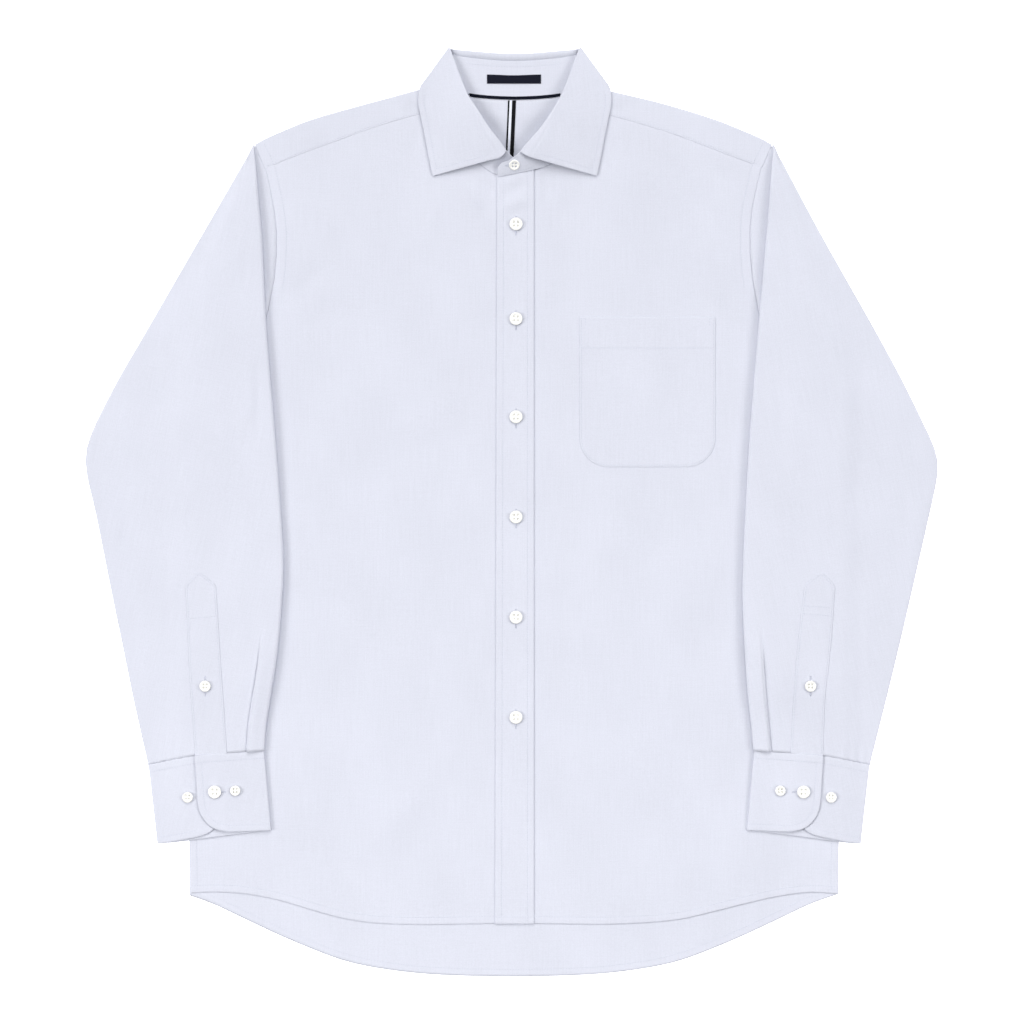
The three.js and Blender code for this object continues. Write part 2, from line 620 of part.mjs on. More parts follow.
function makeStand() {
  const half = (side) => {
    const list = [];
    for (const row of [...STAND_END[side.name]].reverse()) {
      const neck = standNeck(side, row.neckOut, row.neckY, row.neck);
      const top = collarPoint(side, row.topOut, row.topY, row.top);
      list.push(ruledStation(neck, top, STAND_CELLS, row.bow));
    }
    for (const row of [...STAND_SIDE].reverse()) {
      const neck = standNeck(side, row.neckOut, row.neckY);
      const top = collarPoint(side, row.topOut, row.topY, row[side.name]);
      list.push(ruledStation(neck, top, STAND_CELLS));
    }
    list.push(...creaseStations(STAND_CREASE, level(2), level(1), STAND_CELLS, side));
    return list;
  };
  const middle = mirrored(STAND_BACK).map((row) => {
    const neckY = lookUp(BACK_NECK, 'out', 'y', row.neckOut) + GAP;
    const neck = collarPoint(row, row.neckOut, neckY, level(1));
    const top = collarPoint(row, row.topOut, row.topY, level(1));
    return ruledStation(neck, top, STAND_CELLS);
  });
  const grid = [...half(SIDES[0]), ...middle, ...half(SIDES[1]).reverse()];
  return addPiece('collar_stand', clothWall(grid), CLOTH);
}

function makeLeaf() {
  const radius = LAYER / 2;
  const blank = Array(FOLD_STEPS + 1).fill(null);
  const half = (side) => {
    const list = [];
    for (const row of [...LEAF_FRONT].reverse()) {
      const inner = collarPoint(side, row.foldOut, row.foldY, row[side.name]);
      const outer = collarPoint(side, row.edgeOut, row.edgeY, 0);
      outer.z = level(2) + neckRise(outer.x, outer.y) + LEAF_CLEARANCE;
      list.push([...blank, ...ruledStation(inner, outer, LEAF_CELLS)]);
    }
    const crease = creaseStations(LEAF_CREASE, LEAF_CREASE.high, level(0), LEAF_CELLS, side);
    list.push(...crease.map((station) => [...blank, ...station]));
    return list;
  };
  const middle = mirrored(LEAF_BACK).map((row) => {
    const foldY = row.foldY - radius - WALL / 2;
    const lipY = lookUp(STAND_BACK, 'topOut', 'topY', row.foldOut) + SEAM_GAP;
    const lip = collarPoint(row, row.foldOut, lipY, level(1));
    const turn = Array.from({ length: FOLD_STEPS }, (_, k) => {
      const angle = Math.PI * k / FOLD_STEPS;
      const y = foldY + radius * Math.sin(angle);
      return collarPoint(row, row.foldOut, y, level(1) - radius * (1 - Math.cos(angle)));
    });
    const inner = collarPoint(row, row.foldOut, foldY, level(0));
    const outer = collarPoint(row, row.edgeOut, row.edgeY, level(0));
    return [lip, ...turn, ...ruledStation(inner, outer, LEAF_CELLS)];
  });
  const grid = [...half(SIDES[0]), ...middle, ...half(SIDES[1]).reverse()];
  return addPiece('collar_leaf', clothWall(grid), CLOTH);
}

// Height of the sleeve's under layer: on the body inside its side edge, on the surface outside it
function underHeight(side, out, y) {
  const seam = bodyEdge(side, Math.min(y, UNDERARM_Y)) + SEAM_OUT;
  return level(0) + 2 * LAYER * ease(1 - (out - seam) / RAMP);
}

// Share of the slant of the cuff's top edge that is reached at this share of the sleeve's width
function cuffSag(share) {
  const first = CUFF_TOP[0];
  const last = CUFF_TOP[CUFF_TOP.length - 1];
  const y = lookUp(CUFF_TOP, 'out', 'y', mix(first.out, last.out, share));
  return (y - first.y) / (last.y - first.y);
}

// One row across the sleeve: under layer, outer fold, top layer, inner fold, and back under
function sleeveRow(side, outerY, innerY) {
  const cap = outerY > UNDERARM_Y;
  const outer = lookUp(SLEEVE_OUTER, 'y', side.name, outerY);
  const inner = lookUp(SLEEVE_INNER, 'y', side.name, innerY);
  const shift = bodyEdge(side, SHOULDER_Y) - bodyEdge(SIDES[0], SHOULDER_Y);
  const tip = CAP_TIP.out + shift;
  const share = (CAP_TIP.y - outerY) / (CAP_TIP.y - UNDERARM_Y);
  const hidden = mix(tip, bodyEdge(side, UNDERARM_Y), share);
  const seam = bodyEdge(side, Math.min(outerY, UNDERARM_Y)) + SEAM_OUT;
  const climb = ease((UNDERARM_Y - outerY) / SEAM_CLIMB);
  const half = WALL / 2;
  const narrow = cap ? 1 - ease((outer - hidden) / CAP_FADE) : 0;
  const topAtOuter = level(1 + 2 * narrow);
  const outerRadius = (topAtOuter - level(0)) / 2;
  const belowCap = CAP_START_Y - outerY;
  const atCuff = ease((CUFF_REACH.start - outerY) / CUFF_REACH.length);
  const roll = mix(LAYER / 2, EDGE_ROLL, ease(belowCap / ROLL_REACH));
  const innerRadius = roll * mix(1, CUFF_REACH.roll, atCuff);
  const fullness = ease(belowCap / FULL_REACH) * (1 - atCuff);
  const pleat = PLEAT_HEIGHT * ease((PLEAT_REACH.start - outerY) / PLEAT_REACH.length);
  const point = (out, z) => {
    const y = mix(innerY, outerY, cuffSag((out - inner) / (outer - inner)));
    return new THREE.Vector3(side.sign * out, y, z);
  };
  const puff = (out) => {
    const t = (outer - out) / (outer - inner);
    return (2 * innerRadius - LAYER) * ease(t) + CROWN * fullness * Math.sin(Math.PI * t);
  };
  const start = cap ? backArmhole(side, outerY) + SEAM_GAP : seam + GAP / 2;
  const outerBend = outer - half - outerRadius;
  const lowOuts = LOWER_FRACTIONS.map((t) => mix(start, outerBend, t));
  const low = lowOuts.map((out) => {
    const z = cap ? level(0) : mix(level(0), underHeight(side, out, outerY), climb);
    return point(out, z);
  });
  const bend = (out, z, radius, direction) => Array.from({ length: FOLD_STEPS - 1 }, (_, k) => {
    const angle = Math.PI * (k + 1) / FOLD_STEPS;
    return point(out + direction * radius * Math.sin(angle), z - direction * radius * Math.cos(angle));
  });
  const outerFold = bend(outerBend, level(0) + outerRadius, outerRadius, 1);
  const capOuts = UPPER_FRACTIONS.map((t) => mix(outerBend, hidden + CAP_OVERLAP, t));
  const highOuts = cap ? capOuts : [...lowOuts].reverse();
  const high = highOuts.map((out, k) => {
    const above = cap
      ? mix(topAtOuter, level(3), ease(k / (highOuts.length - 1)))
      : underHeight(side, out, outerY) + LAYER;
    return point(out, above + puff(out));
  });
  const innerBend = inner + half + innerRadius;
  const nearEnd = cap ? hidden - LAYER / 2 - half : seam - GAP / 2;
  const span = nearEnd - innerBend;
  const offsets = [0, PLEAT_OFFSET - PLEAT_SPREAD, PLEAT_OFFSET, PLEAT_OFFSET + PLEAT_SPREAD];
  const nearOuts = offsets.map((offset, k) => {
    return innerBend + Math.min(Math.max(0, offset - innerRadius), span * k / offsets.length);
  });
  nearOuts.push(nearEnd);
  const near = nearOuts.map((out, k) => point(out, level(3) + puff(out) + pleat * PLEAT_SHAPE[k]));
  near.reverse();
  const innerFold = bend(innerBend, level(2) + innerRadius, innerRadius, -1);
  const under = nearOuts.map((out) => point(out, level(2)));
  const row = [...low, ...outerFold, ...high, ...near, ...innerFold, ...under];
  if (!cap) return [...row, ...Array(FOLD_STEPS - 1 + STRIP_FRACTIONS.length).fill(null)];
  const hiddenFold = bend(nearEnd, level(1) + LAYER / 2, LAYER / 2, 1).reverse();
  const seamEnd = bodyEdge(side, outerY) + SEAM_GAP;
  const backIn = STRIP_FRACTIONS.map((t) => point(mix(nearEnd, seamEnd, t), level(1)));
  return [...row, ...hiddenFold, ...backIn];
}

function makeSleeve(side) {
  const cap = CAP_ROWS.map((y) => sleeveRow(side, y, y));
  const arm = ARM_ROWS.map((row) => sleeveRow(side, row.outer, row.inner));
  return addPiece(`sleeve_${side.name}`, clothWall([...cap, ...arm]), CLOTH);
}

// One station of the cuff, from its top edge to its bottom edge
function cuffStation(side, row, layer, inset) {
  const shift = CUFF_SHIFT[side.name];
  return Array.from({ length: CUFF_ROWS + 1 }, (_, k) => {
    const share = k / CUFF_ROWS;
    const out = mix(row.top, row.bottom, share) + shift + inset;
    const topY = lookUp(CUFF_TOP, 'out', 'y', row.top) - GAP;
    const y = mix(topY, row.low, share);
    return new THREE.Vector3(side.sign * out, y, underHeight(side, out, y) + layer * CUFF_LAYER);
  });
}

function makeCuff(side) {
  const grid = [];
  const radius = CUFF_LAYER / 2;
  CUFF.forEach((row, k) => {
    if (!CUFF_FOLDS.includes(k)) {
      grid.push(cuffStation(side, row, row.layer, 0));
      return;
    }
    const outward = k === CUFF_FOLDS[0] ? 1 : -1;
    for (let step = 0; step <= FOLD_STEPS; step += 1) {
      const angle = Math.PI * step / FOLD_STEPS;
      const layer = outward > 0 ? (1 + Math.cos(angle)) / 2 : (1 - Math.cos(angle)) / 2;
      grid.push(cuffStation(side, row, layer, outward * radius * (Math.sin(angle) - 1)));
    }
  });
  return addPiece(`cuff_${side.name}`, clothWall(grid), CLOTH);
}

// A strip laid on a sleeve, from the sleeve's own surface moved out
function makeSleevePlacket(side, sleeve) {
  const columns = 4;
  const grid = SLEEVE_PLACKET.map((row) => Array.from({ length: columns + 1 }, (_, j) => {
    const share = j / columns;
    const out = mix(row[`${side.name}In`], row[`${side.name}Out`], share);
    const y = row.y - row.drop * share;
    const { point } = topOf(sleeve, side.sign * out, y);
    return new THREE.Vector3(point.x, point.y, point.z + GAP + WALL / 2);
  }));
  return addPiece(`sleeve_placket_${side.name}`, clothWall(grid), CLOTH);
}

function makeFrontPlacket() {
  const { rows, columns } = PLACKET_GRID;
  const grid = Array.from({ length: rows + 1 }, (_, i) => Array.from({ length: columns + 1 }, (__, j) => {
    const down = i / rows;
    const across = j / columns;
    const left = mix(PLACKET.left, PLACKET.hemLeft, down);
    const top = mix(PLACKET.topLeftY, PLACKET.topRightY, across);
    return new THREE.Vector3(mix(left, PLACKET.right, across), mix(top, PLACKET.hemY, down), level(2));
  }));
  return addPiece('front_placket', clothWall(grid), CLOTH);
}

// The pocket follows the front panel under it, with two rounded bottom corners
function makePocket(front) {
  const centre = (POCKET.left + POCKET.right) / 2;
  const half = (POCKET.right - POCKET.left) / 2;
  const straightBottom = POCKET.bottom + POCKET.corner;
  const { straightRows, cornerRows, columns } = POCKET_GRID;
  const rows = [];
  for (let k = 0; k <= straightRows; k += 1) {
    rows.push({ y: mix(POCKET.top, straightBottom, k / straightRows), half });
  }
  for (let k = 1; k <= cornerRows; k += 1) {
    const angle = Math.PI / 2 * k / cornerRows;
    const width = half - POCKET.corner * (1 - Math.cos(angle));
    rows.push({ y: straightBottom - POCKET.corner * Math.sin(angle), half: width });
  }
  const grid = rows.map((row) => Array.from({ length: columns + 1 }, (_, j) => {
    const x = centre + row.half * (2 * j / columns - 1);
    const { point } = topOf(front, x, row.y);
    return new THREE.Vector3(x, row.y, point.z + GAP + WALL / 2);
  }));
  return addPiece('pocket', clothWall(grid), CLOTH);
}

function makeLabel(stand) {
  const columns = 6;
  const { point } = topOf(stand, COLLAR_X, (LABEL.top + LABEL.bottom) / 2);
  const grid = Array.from({ length: 3 }, (_, i) => Array.from({ length: columns + 1 }, (__, j) => {
    const x = mix(LABEL.left, LABEL.right, j / columns);
    return new THREE.Vector3(x, mix(LABEL.top, LABEL.bottom, i / 2), point.z + GAP + TRIM_WALL / 2);
  }));
  return addPiece('label', clothWall(grid, TRIM_WALL), TRIM);
}

function makeNeckTape() {
  const columns = 10;
  const grid = Array.from({ length: 3 }, (_, i) => Array.from({ length: columns + 1 }, (__, j) => {
    const x = mix(TAPE.left, TAPE.right, j / columns);
    const y = lookUp(BACK_NECK, 'out', 'y', Math.abs(x - COLLAR_X)) + TAPE.width * (0.5 - i / 2);
    return new THREE.Vector3(x, y, level(1) + WALL / 2 + GAP + TRIM_WALL / 2);
  }));
  return addPiece('neck_tape', clothWall(grid, TRIM_WALL), TRIM);
}

function makeRibbon(yoke) {
  const rows = 8;
  const grid = Array.from({ length: rows + 1 }, (_, i) => Array.from({ length: 3 }, (__, j) => {
    const y = mix(RIBBON.topY, RIBBON.bottomY, i / rows);
    const x = mix(RIBBON.topX, RIBBON.bottomX, i / rows) + RIBBON.width * (j / 2 - 0.5);
    const { point } = topOf(yoke, x, y);
    return new THREE.Vector3(x, y, point.z + GAP + TRIM_WALL / 2);
  }));
  return addPiece('back_ribbon', clothWall(grid, TRIM_WALL), TRIM);
}

// A round button with a rolled rim and a dished middle, seated on the cloth under it
function makeButton(name, base, x, y, diameter) {
  const profile = BUTTON_PROFILE.map(({ radius, height }) => {
    return new THREE.Vector2(radius * diameter / 2, height * BUTTON.thickness);
  });
  const lathe = new THREE.LatheGeometry(profile, BUTTON_SIDES);
  lathe.rotateX(Math.PI / 2);
  const button = addPiece(name, lathe, PEARL);
  const { point, normal } = topOf(base, x, y);
  button.quaternion.setFromUnitVectors(new THREE.Vector3(0, 0, 1), normal);
  button.position.copy(point).addScaledVector(normal, GAP);
}

function makeButtons(placket, stand, sleevePieces) {
  makeButton('button_collar', stand, COLLAR_BUTTON.x, COLLAR_BUTTON.y, BUTTON.collar);
  FRONT_BUTTON_Y.forEach((y, k) => {
    makeButton(`button_front_${k + 1}`, placket, FRONT_BUTTON_X, y, BUTTON.front);
  });
  for (const side of SIDES) {
    for (const row of SLEEVE_BUTTONS) {
      const base = row.name === 'placket' ? sleevePieces[side.name].placket : sleevePieces[side.name].cuff;
      const x = side.sign * row.out[side.name];
      makeButton(`button_${row.name}_${side.name}`, base, x, row.y, row.size);
    }
  }
}

makeBack();
const yoke = makeYoke();
const fronts = SIDES.map(makeFront);
const placket = makeFrontPlacket();
makePocket(fronts[1]);
const stand = makeStand();
makeLeaf();
makeNeckTape();
makeRibbon(yoke);
makeLabel(stand);
const sleevePieces = {};
for (const side of SIDES) {
  const sleeve = makeSleeve(side);
  sleevePieces[side.name] = { cuff: makeCuff(side), placket: makeSleevePlacket(side, sleeve) };
}
makeButtons(placket, stand, sleevePieces);

export default shirt;
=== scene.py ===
import math

import bpy
import numpy as np
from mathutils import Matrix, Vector
from mathutils.bvhtree import BVHTree


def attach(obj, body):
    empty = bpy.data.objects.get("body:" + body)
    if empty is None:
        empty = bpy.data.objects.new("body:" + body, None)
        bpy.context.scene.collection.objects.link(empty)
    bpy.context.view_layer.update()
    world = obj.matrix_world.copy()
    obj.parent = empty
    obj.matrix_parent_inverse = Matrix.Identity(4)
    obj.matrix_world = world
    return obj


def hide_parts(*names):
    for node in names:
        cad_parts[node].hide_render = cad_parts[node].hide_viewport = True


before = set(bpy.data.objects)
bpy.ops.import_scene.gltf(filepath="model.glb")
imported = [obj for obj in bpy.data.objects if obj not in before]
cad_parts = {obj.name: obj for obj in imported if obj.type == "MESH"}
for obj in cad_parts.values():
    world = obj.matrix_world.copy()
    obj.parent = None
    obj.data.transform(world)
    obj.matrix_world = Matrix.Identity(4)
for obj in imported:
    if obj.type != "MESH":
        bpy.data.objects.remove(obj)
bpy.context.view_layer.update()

MM = 0.001

# The photograph's frame: its width in pixels, the size of a pixel, and where the origin shows
PHOTO_WIDTH = 1024
PIXEL = 0.9
ORIGIN_PX = (511.8, 512.15)
LENS = 85.0
SENSOR = 36.0

# Cloth: real wall thickness here, and the spacing of the layers in the frame
CLOTH = 0.45
DOUBLE_CLOTH = 0.8
TRIM_CLOTH = 0.3
WALL = 1.0
GAP = 0.3
LAYER = WALL + GAP
CUFF_LAYER = 1.5

# Body
UNDERARM_Y = 114
BACK_SEAM_Y = 272
FRONT_EDGE = {"left": -14.6, "right": 16.2}
LAP = 1.2

# Collar
COLLAR_X = 2.7
COLLAR_CENTRE_Y = 345
COLLAR_RISE_FADE = 16
RISE_START = 6

# Sleeves
RAMP = 22
SEAM_OUT = 2.4
SEAM_CLIMB = 30
EDGE_ROLL = 2.2
CROWN = 1.1
PLEAT_OFFSET = 15.5
PLEAT_HEIGHT = 2.1
PLEAT_START = -98
PLEAT_RISE = 50
CAP_TIP = {"y": 328, "out": 232, "top": 330.6}

PLACKET = {
    "left": -13.3, "right": 20, "hem_left": -15.1, "hem_y": -370.2, "top_left": 302.1, "top_right": 308.0,
}
POCKET = {"left": 60.9, "right": 183.1, "top": 175.6, "bottom": 40.6, "corner": 26}
LABEL = {"left": -22.3, "right": 26.3, "top": 393.4, "bottom": 385.2}
TAPE = {"left": -38, "right": 43.5, "width": 2.8}
RIBBON = {"width": 7.2, "top_x": 0.2, "bottom_x": -2.3, "top_y": 370.2, "bottom_y": 312}

# Stitch rows: how far inside the edge, and the pitch and size of a stitch
HEM_STITCH = 6.3
SIDE_STITCH = 6.6
ARMHOLE_STITCH = 8.4
PLACKET_STITCH = 5.8
COLLAR_STITCH = 5.0
CUFF_STITCH = 5.8
CUFF_TOP_STITCH = 6.8
EDGE_STITCH = 1.7
PITCH = 2.4
STITCH = {"length": 1.7, "width": 0.42}

SIDES = {"left": -1, "right": 1}


def table(names, *rows):
    """Rows of numbers as a dictionary of columns."""
    return dict(zip(names.split(), np.array(rows, float).T))


# Side seam and front armhole, from the hem up to the yoke seam, as distances from the centre line
SIDE_EDGE = table(
    "y left right back",
    (-343, 289.6, 293.6, 0),
    (-296, 290.0, 294.0, 0),
    (-220, 289.5, 293.3, 0),
    (-140, 289.0, 292.5, 0),
    (-60, 289.3, 291.8, 0),
    (20, 290.5, 291.8, 0),
    (80, 291.8, 292.4, 0),
    (114, 292.3, 292.7, 0),
    (126, 255.5, 256.7, 11),
    (150, 231.0, 232.4, 20),
    (180, 219.4, 221.8, 23),
    (209, 213.5, 216.5, 24),
    (231, 211.3, 214.3, 23.5),
    (253, 211.3, 214.0, 21),
    (272, 213.5, 215.7, 17.5),
    (297, 218.5, 221.0, 12),
    (310, 222.0, 224.7, 9),
    (330, 231.2, 234.4, 0),
)
HEM = table(
    "x left right back",
    (0, -369.4, -369.6, -417.7),
    (45, -370.4, -370.3, -417.0),
    (84, -370.8, -370.6, -414.8),
    (123, -369.4, -369.0, -409.7),
    (152, -365.2, -366.0, -403.1),
    (181, -357.3, -359.4, -392.4),
    (211, -348.5, -352.0, -379.6),
    (240, -343.2, -345.5, -366.0),
    (268, -341.5, -342.0, -352.8),
    (294, -342.9, -343.4, -343.4),
)
SHOULDER = table(
    "x left right",
    (64, 385.2, 385.0),
    (82, 380.5, 380.3),
    (132, 367.2, 368.8),
    (182, 352.8, 353.7),
    (212, 340.6, 341.8),
    (224, 334.9, 336.4),
    (235, 328.7, 330.5),
)
YOKE_SEAM = table(
    "x left right",
    (63, 363.8, 363.6),
    (89, 357.4, 357.6),
    (115, 350.0, 350.4),
    (144, 339.9, 341.5),
    (172, 329.6, 331.0),
    (198, 320.0, 321.0),
    (224, 309.3, 311.5),
)
YOKE_STATIONS = table(
    "back fold front",
    (230.6, 230.8, 222.2),
    (212, 213, 206),
    (182, 182, 178),
    (150, 150, 148),
    (118, 118, 117),
    (90, 90, 90),
)
YOKE_WIDER = {"left": 0, "right": 3}
YOKE_NECK_FOLD = 67.4
YOKE_NECK_SEAM = 66.4

# Necklines, outward from the collar's centre
FRONT_NECK = table(
    "out left right",
    (66, 362.9, 361.6),
    (63, 350.0, 350.0),
    (56, 337.0, 337.0),
    (44, 323.4, 323.4),
    (30, 312.5, 312.5),
    (18, 304.6, 307.8),
)
FRONT_NECK_END = {"left": 301.6, "right": 306.4}
BACK_NECK = table("out y", (0, 372.2), (20, 372.9), (40, 375.1), (55, 379.2), (66, 384.0))

# Collar stand
STAND_SIDE = table(
    "top_out top_y left right neck_out neck_y",
    (54.0, 408.0, 3.4, 3.4, 66.6, 378.0),
    (49.0, 396.0, 5.0, 5.0, 66.2, 366.0),
    (44.0, 377.0, 7.2, 7.2, 63.0, 350.0),
    (36.0, 362.0, 8.6, 9.0, 56.0, 337.0),
    (27.5, 349.0, 9.2, 10.4, 44.0, 323.7),
    (17.5, 336.0, 9.2, 11.6, 30.0, 313.0),
)
STAND_END = {
    "left": table(
        "top_out top_y top neck_out neck_y neck bow",
        (7.0, 324.0, 7.2, 17.0, 304.9, 1.8, 2.2),
        (0.5, 318.0, 4.6, 2.0, 303.4, 1.8, 2.2),
        (-6.0, 313.6, 3.2, -7.0, 303.0, 1.8, 2.2),
        (-10.6, 309.0, 2.2, -10.8, 303.0, 1.8, 2.2),
    ),
    "right": table(
        "top_out top_y top neck_out neck_y neck bow",
        (4.2, 322.4, 11.6, 16.6, 308.9, 3.2, 1),
        (-1.5, 318.0, 10.0, 6.5, 306.7, 3.3, 1),
        (-6.0, 315.0, 8.8, -3.0, 304.8, 3.3, 1),
        (-11.8, 313.2, 7.8, -11.0, 303.2, 3.3, 1),
        (-15.2, 309.6, 6.2, -15.1, 302.8, 3.3, 1),
    ),
}
STAND_BACK = table(
    "neck_out top_out top_y", (52, 46, 409.4), (36, 34, 407.9), (18, 17, 406.3), (0, 0, 405.7),
)
STAND_CREASE = {"top": (54.6, 411.0), "neck": (66.2, 384.6)}

# Collar leaf
LEAF_FRONT = table(
    "fold_out fold_y left right edge_out edge_y",
    (57.6, 415.0, 4.9, 4.9, 86.4, 377.0),
    (51.6, 399.0, 6.9, 6.9, 86.6, 366.0),
    (43.2, 376.3, 9.1, 9.2, 83.4, 350.0),
    (36.8, 361.5, 10.6, 11.2, 80.4, 335.0),
    (29.0, 343.5, 11.0, 12.4, 77.6, 320.0),
    (21.0, 330.0, 10.6, 12.8, 75.4, 309.0),
    (12.8, 318.0, 9.0, 12.0, 73.8, 302.0),
)
# Where the neck side of the leaf rolls over the stand: the fold that shows, and its height
LEAF_ROLL = table(
    "left_out left_y left right_out right_y right",
    (57.6, 415.0, 4.9, 57.2, 415.2, 4.9),
    (51.4, 398.0, 6.9, 51.2, 398.0, 6.9),
    (43.0, 376.3, 9.1, 42.5, 376.3, 9.2),
    (33.9, 361.5, 10.6, 34.6, 361.5, 11.2),
    (22.5, 344.0, 11.0, 22.8, 344.0, 12.6),
    (14.3, 333.5, 10.7, 13.2, 333.0, 13.0),
    (7.4, 324.0, 8.9, 4.6, 322.6, 12.9),
)
LEAF_BACK = table(
    "fold_out fold_y edge_out edge_y",
    (45, 415.6, 66, 373.2),
    (32, 414.4, 42, 367.6),
    (16, 413.2, 20, 364.8),
    (0, 412.8, 0, 364.0),
)
LEAF_CREASE = {"fold": (58, 416.6), "edge": (83.4, 382.0), "high": 4.7}

# Sleeve outline: the outer fold and the inner fold
SLEEVE_OUTER = table(
    "y left right",
    (330, 232.2, 235.3),
    (246, 281.0, 280.6),
    (164, 328.3, 326.9),
    (119, 354.4, 351.2),
    (80, 374.3, 370.4),
    (64, 380.9, 377.9),
    (52, 383.6, 382.1),
    (40, 383.4, 383.7),
    (28, 381.4, 382.3),
    (0, 374.8, 376.4),
    (-79, 358.9, 358.4),
    (-117, 351.0, 349.6),
    (-172, 339.8, 336.2),
    (-227, 327.4, 322.4),
)
SLEEVE_INNER = table(
    "y left right",
    (330, 232.0, 235.2),
    (309, 229.3, 232.9),
    (277, 226.6, 230.5),
    (246, 223.9, 227.9),
    (164, 219.8, 220.8),
    (71, 212.2, 213.3),
    (16, 208.1, 210.0),
    (-42, 204.7, 207.3),
    (-79, 205.9, 206.8),
    (-129, 210.4, 209.0),
    (-164, 215.8, 211.6),
    (-190, 220.0, 214.4),
    (-213, 221.8, 216.5),
)
ARM_ROWS = table(
    "outer inner",
    (113.8, 113.8),
    (26, 26),
    (0, 0),
    (-36, -36),
    (-74, -72),
    (-110, -106),
    (-142, -136),
    (-172, -164),
    (-200, -189),
    (-226.2, -212.6),
)
PLEAT_SPREAD = 1.1

# Cuff stations round the wrist, from the hidden under end to the rounded overlap end
CUFF = table(
    "layer top bottom low",
    (1, 262, 262, -262),
    (1, 262.6, 264, -276),
    (1, 266, 268, -284.6),
    (1, 275, 275, -289.4),
    (1, 285, 284, -292),
    (1, 300, 298, -294.8),
    (1, 314, 308, -296.6),
    (1, 326.4, 318.4, -298.2),
    (0, 314, 308, -297.4),
    (0, 300, 298, -296.2),
    (0, 285, 284, -294.3),
    (0, 262, 262, -291.4),
    (0, 240, 238, -288.4),
    (0, 222.9, 216.6, -285.8),
    (1, 240, 236, -286.6),
    (1.4, 252, 248, -287),
    (2, 262, 256, -286.6),
    (2, 270, 264.5, -285),
    (2, 277, 271.5, -281.2),
    (2, 281.5, 277, -275),
    (2, 283.8, 280.6, -267),
    (2, 284.5, 282.2, -256),
)
CUFF_FOLDS = (7, 13)
CUFF_TOP = table("out y", (216, -213.4), (256, -215.9), (285, -218.5), (328, -227.1))
CUFF_SHIFT = {"left": 0, "right": -5}

SLEEVE_PLACKET = table(
    "y drop left_out left_in right_out right_in",
    (-54.6, 0, 282.4, 279.2, 279.0, 275.8),
    (-63.4, 1, 291.6, 267.4, 288.8, 264.6),
    (-67, 1.5, 292.8, 265.2, 290.0, 262.4),
    (-100, 2, 291.2, 263.2, 287.6, 258.4),
    (-130, 2, 289.8, 261.4, 285.0, 255.4),
    (-164, 2, 288.0, 259.0, 281.2, 252.8),
    (-190, 2.2, 286.2, 257.4, 280.2, 251.4),
    (-215.0, 2.4, 284.3, 255.8, 279.4, 250.4),
)

POCKET_HEM = 28
POCKET_STITCH = 1.7
PLACKET_LIFT = 0.8
POCKET_LIFT = 0.5
HEM_SETTLE = 0.45
HEM_PLACES = (0.4, 1, 2, 3.2, 4.4, 5.4, 6.3, 7.2, 8.4, 10)
YOKE_LIP = 0.24
YOKE_DIP = 0.14
STAND_LIP = 0.4
STRIP_TUCK = 0.28
CUFF_TUCK = 1.6
GATHER = 0.22
RIM_SHARE = 0.5
ROLL_DEPTH = 0.16
PUCKER = 0.045
WELD_STEPS = 200
LEAF_CELLS = 6
LEAF_CORNER = (50, 54, 57)
RIBBON_COLUMNS = 16
RIBBON_STRIPES = (0.205, 0.518)

# Buttons: diameters, and the form that they share
BUTTON = {
    "collar": 9.6, "front": 11.6, "placket": 10.0, "main": 11.6, "inner": 9.2, "outer": 9.6,
    "thickness": 2.0, "edge": 0.8, "dish": 0.3, "dish_share": 0.6, "hole": 1.5, "hole_depth": 1.3,
    "hole_share": 0.146, "shank": 0.15, "cells": 44,
}
COLLAR_BUTTON = (2.3, 311.4)
FRONT_BUTTON_X = 3.8
FRONT_BUTTON_Y = (258.9, 173.8, 85.6, -4.4, -94.4, -184.4)
FRONT_HOLE = 17
SLEEVE_HOLE = 17.5
SLEEVE_BUTTONS = table(
    "y left right",
    (-156, 274.9, 267.9),
    (-251, 266.5, 261.8),
    (-250, 248.2, 241.1),
    (-256, 291.0, 286.7),
)
SLEEVE_CROSS_Y = {"left": (-93.5,), "right": (-83.8, -91.0)}

# Where the seam between leaf and stand shows on each leaf
LEAF_SEAM = {
    "left": np.array([(-29.5, 349.3), (-25.9, 340.3), (-11.1, 318.2)]),
    "right": np.array([(31.7, 344.4), (16.4, 318.2)]),
}

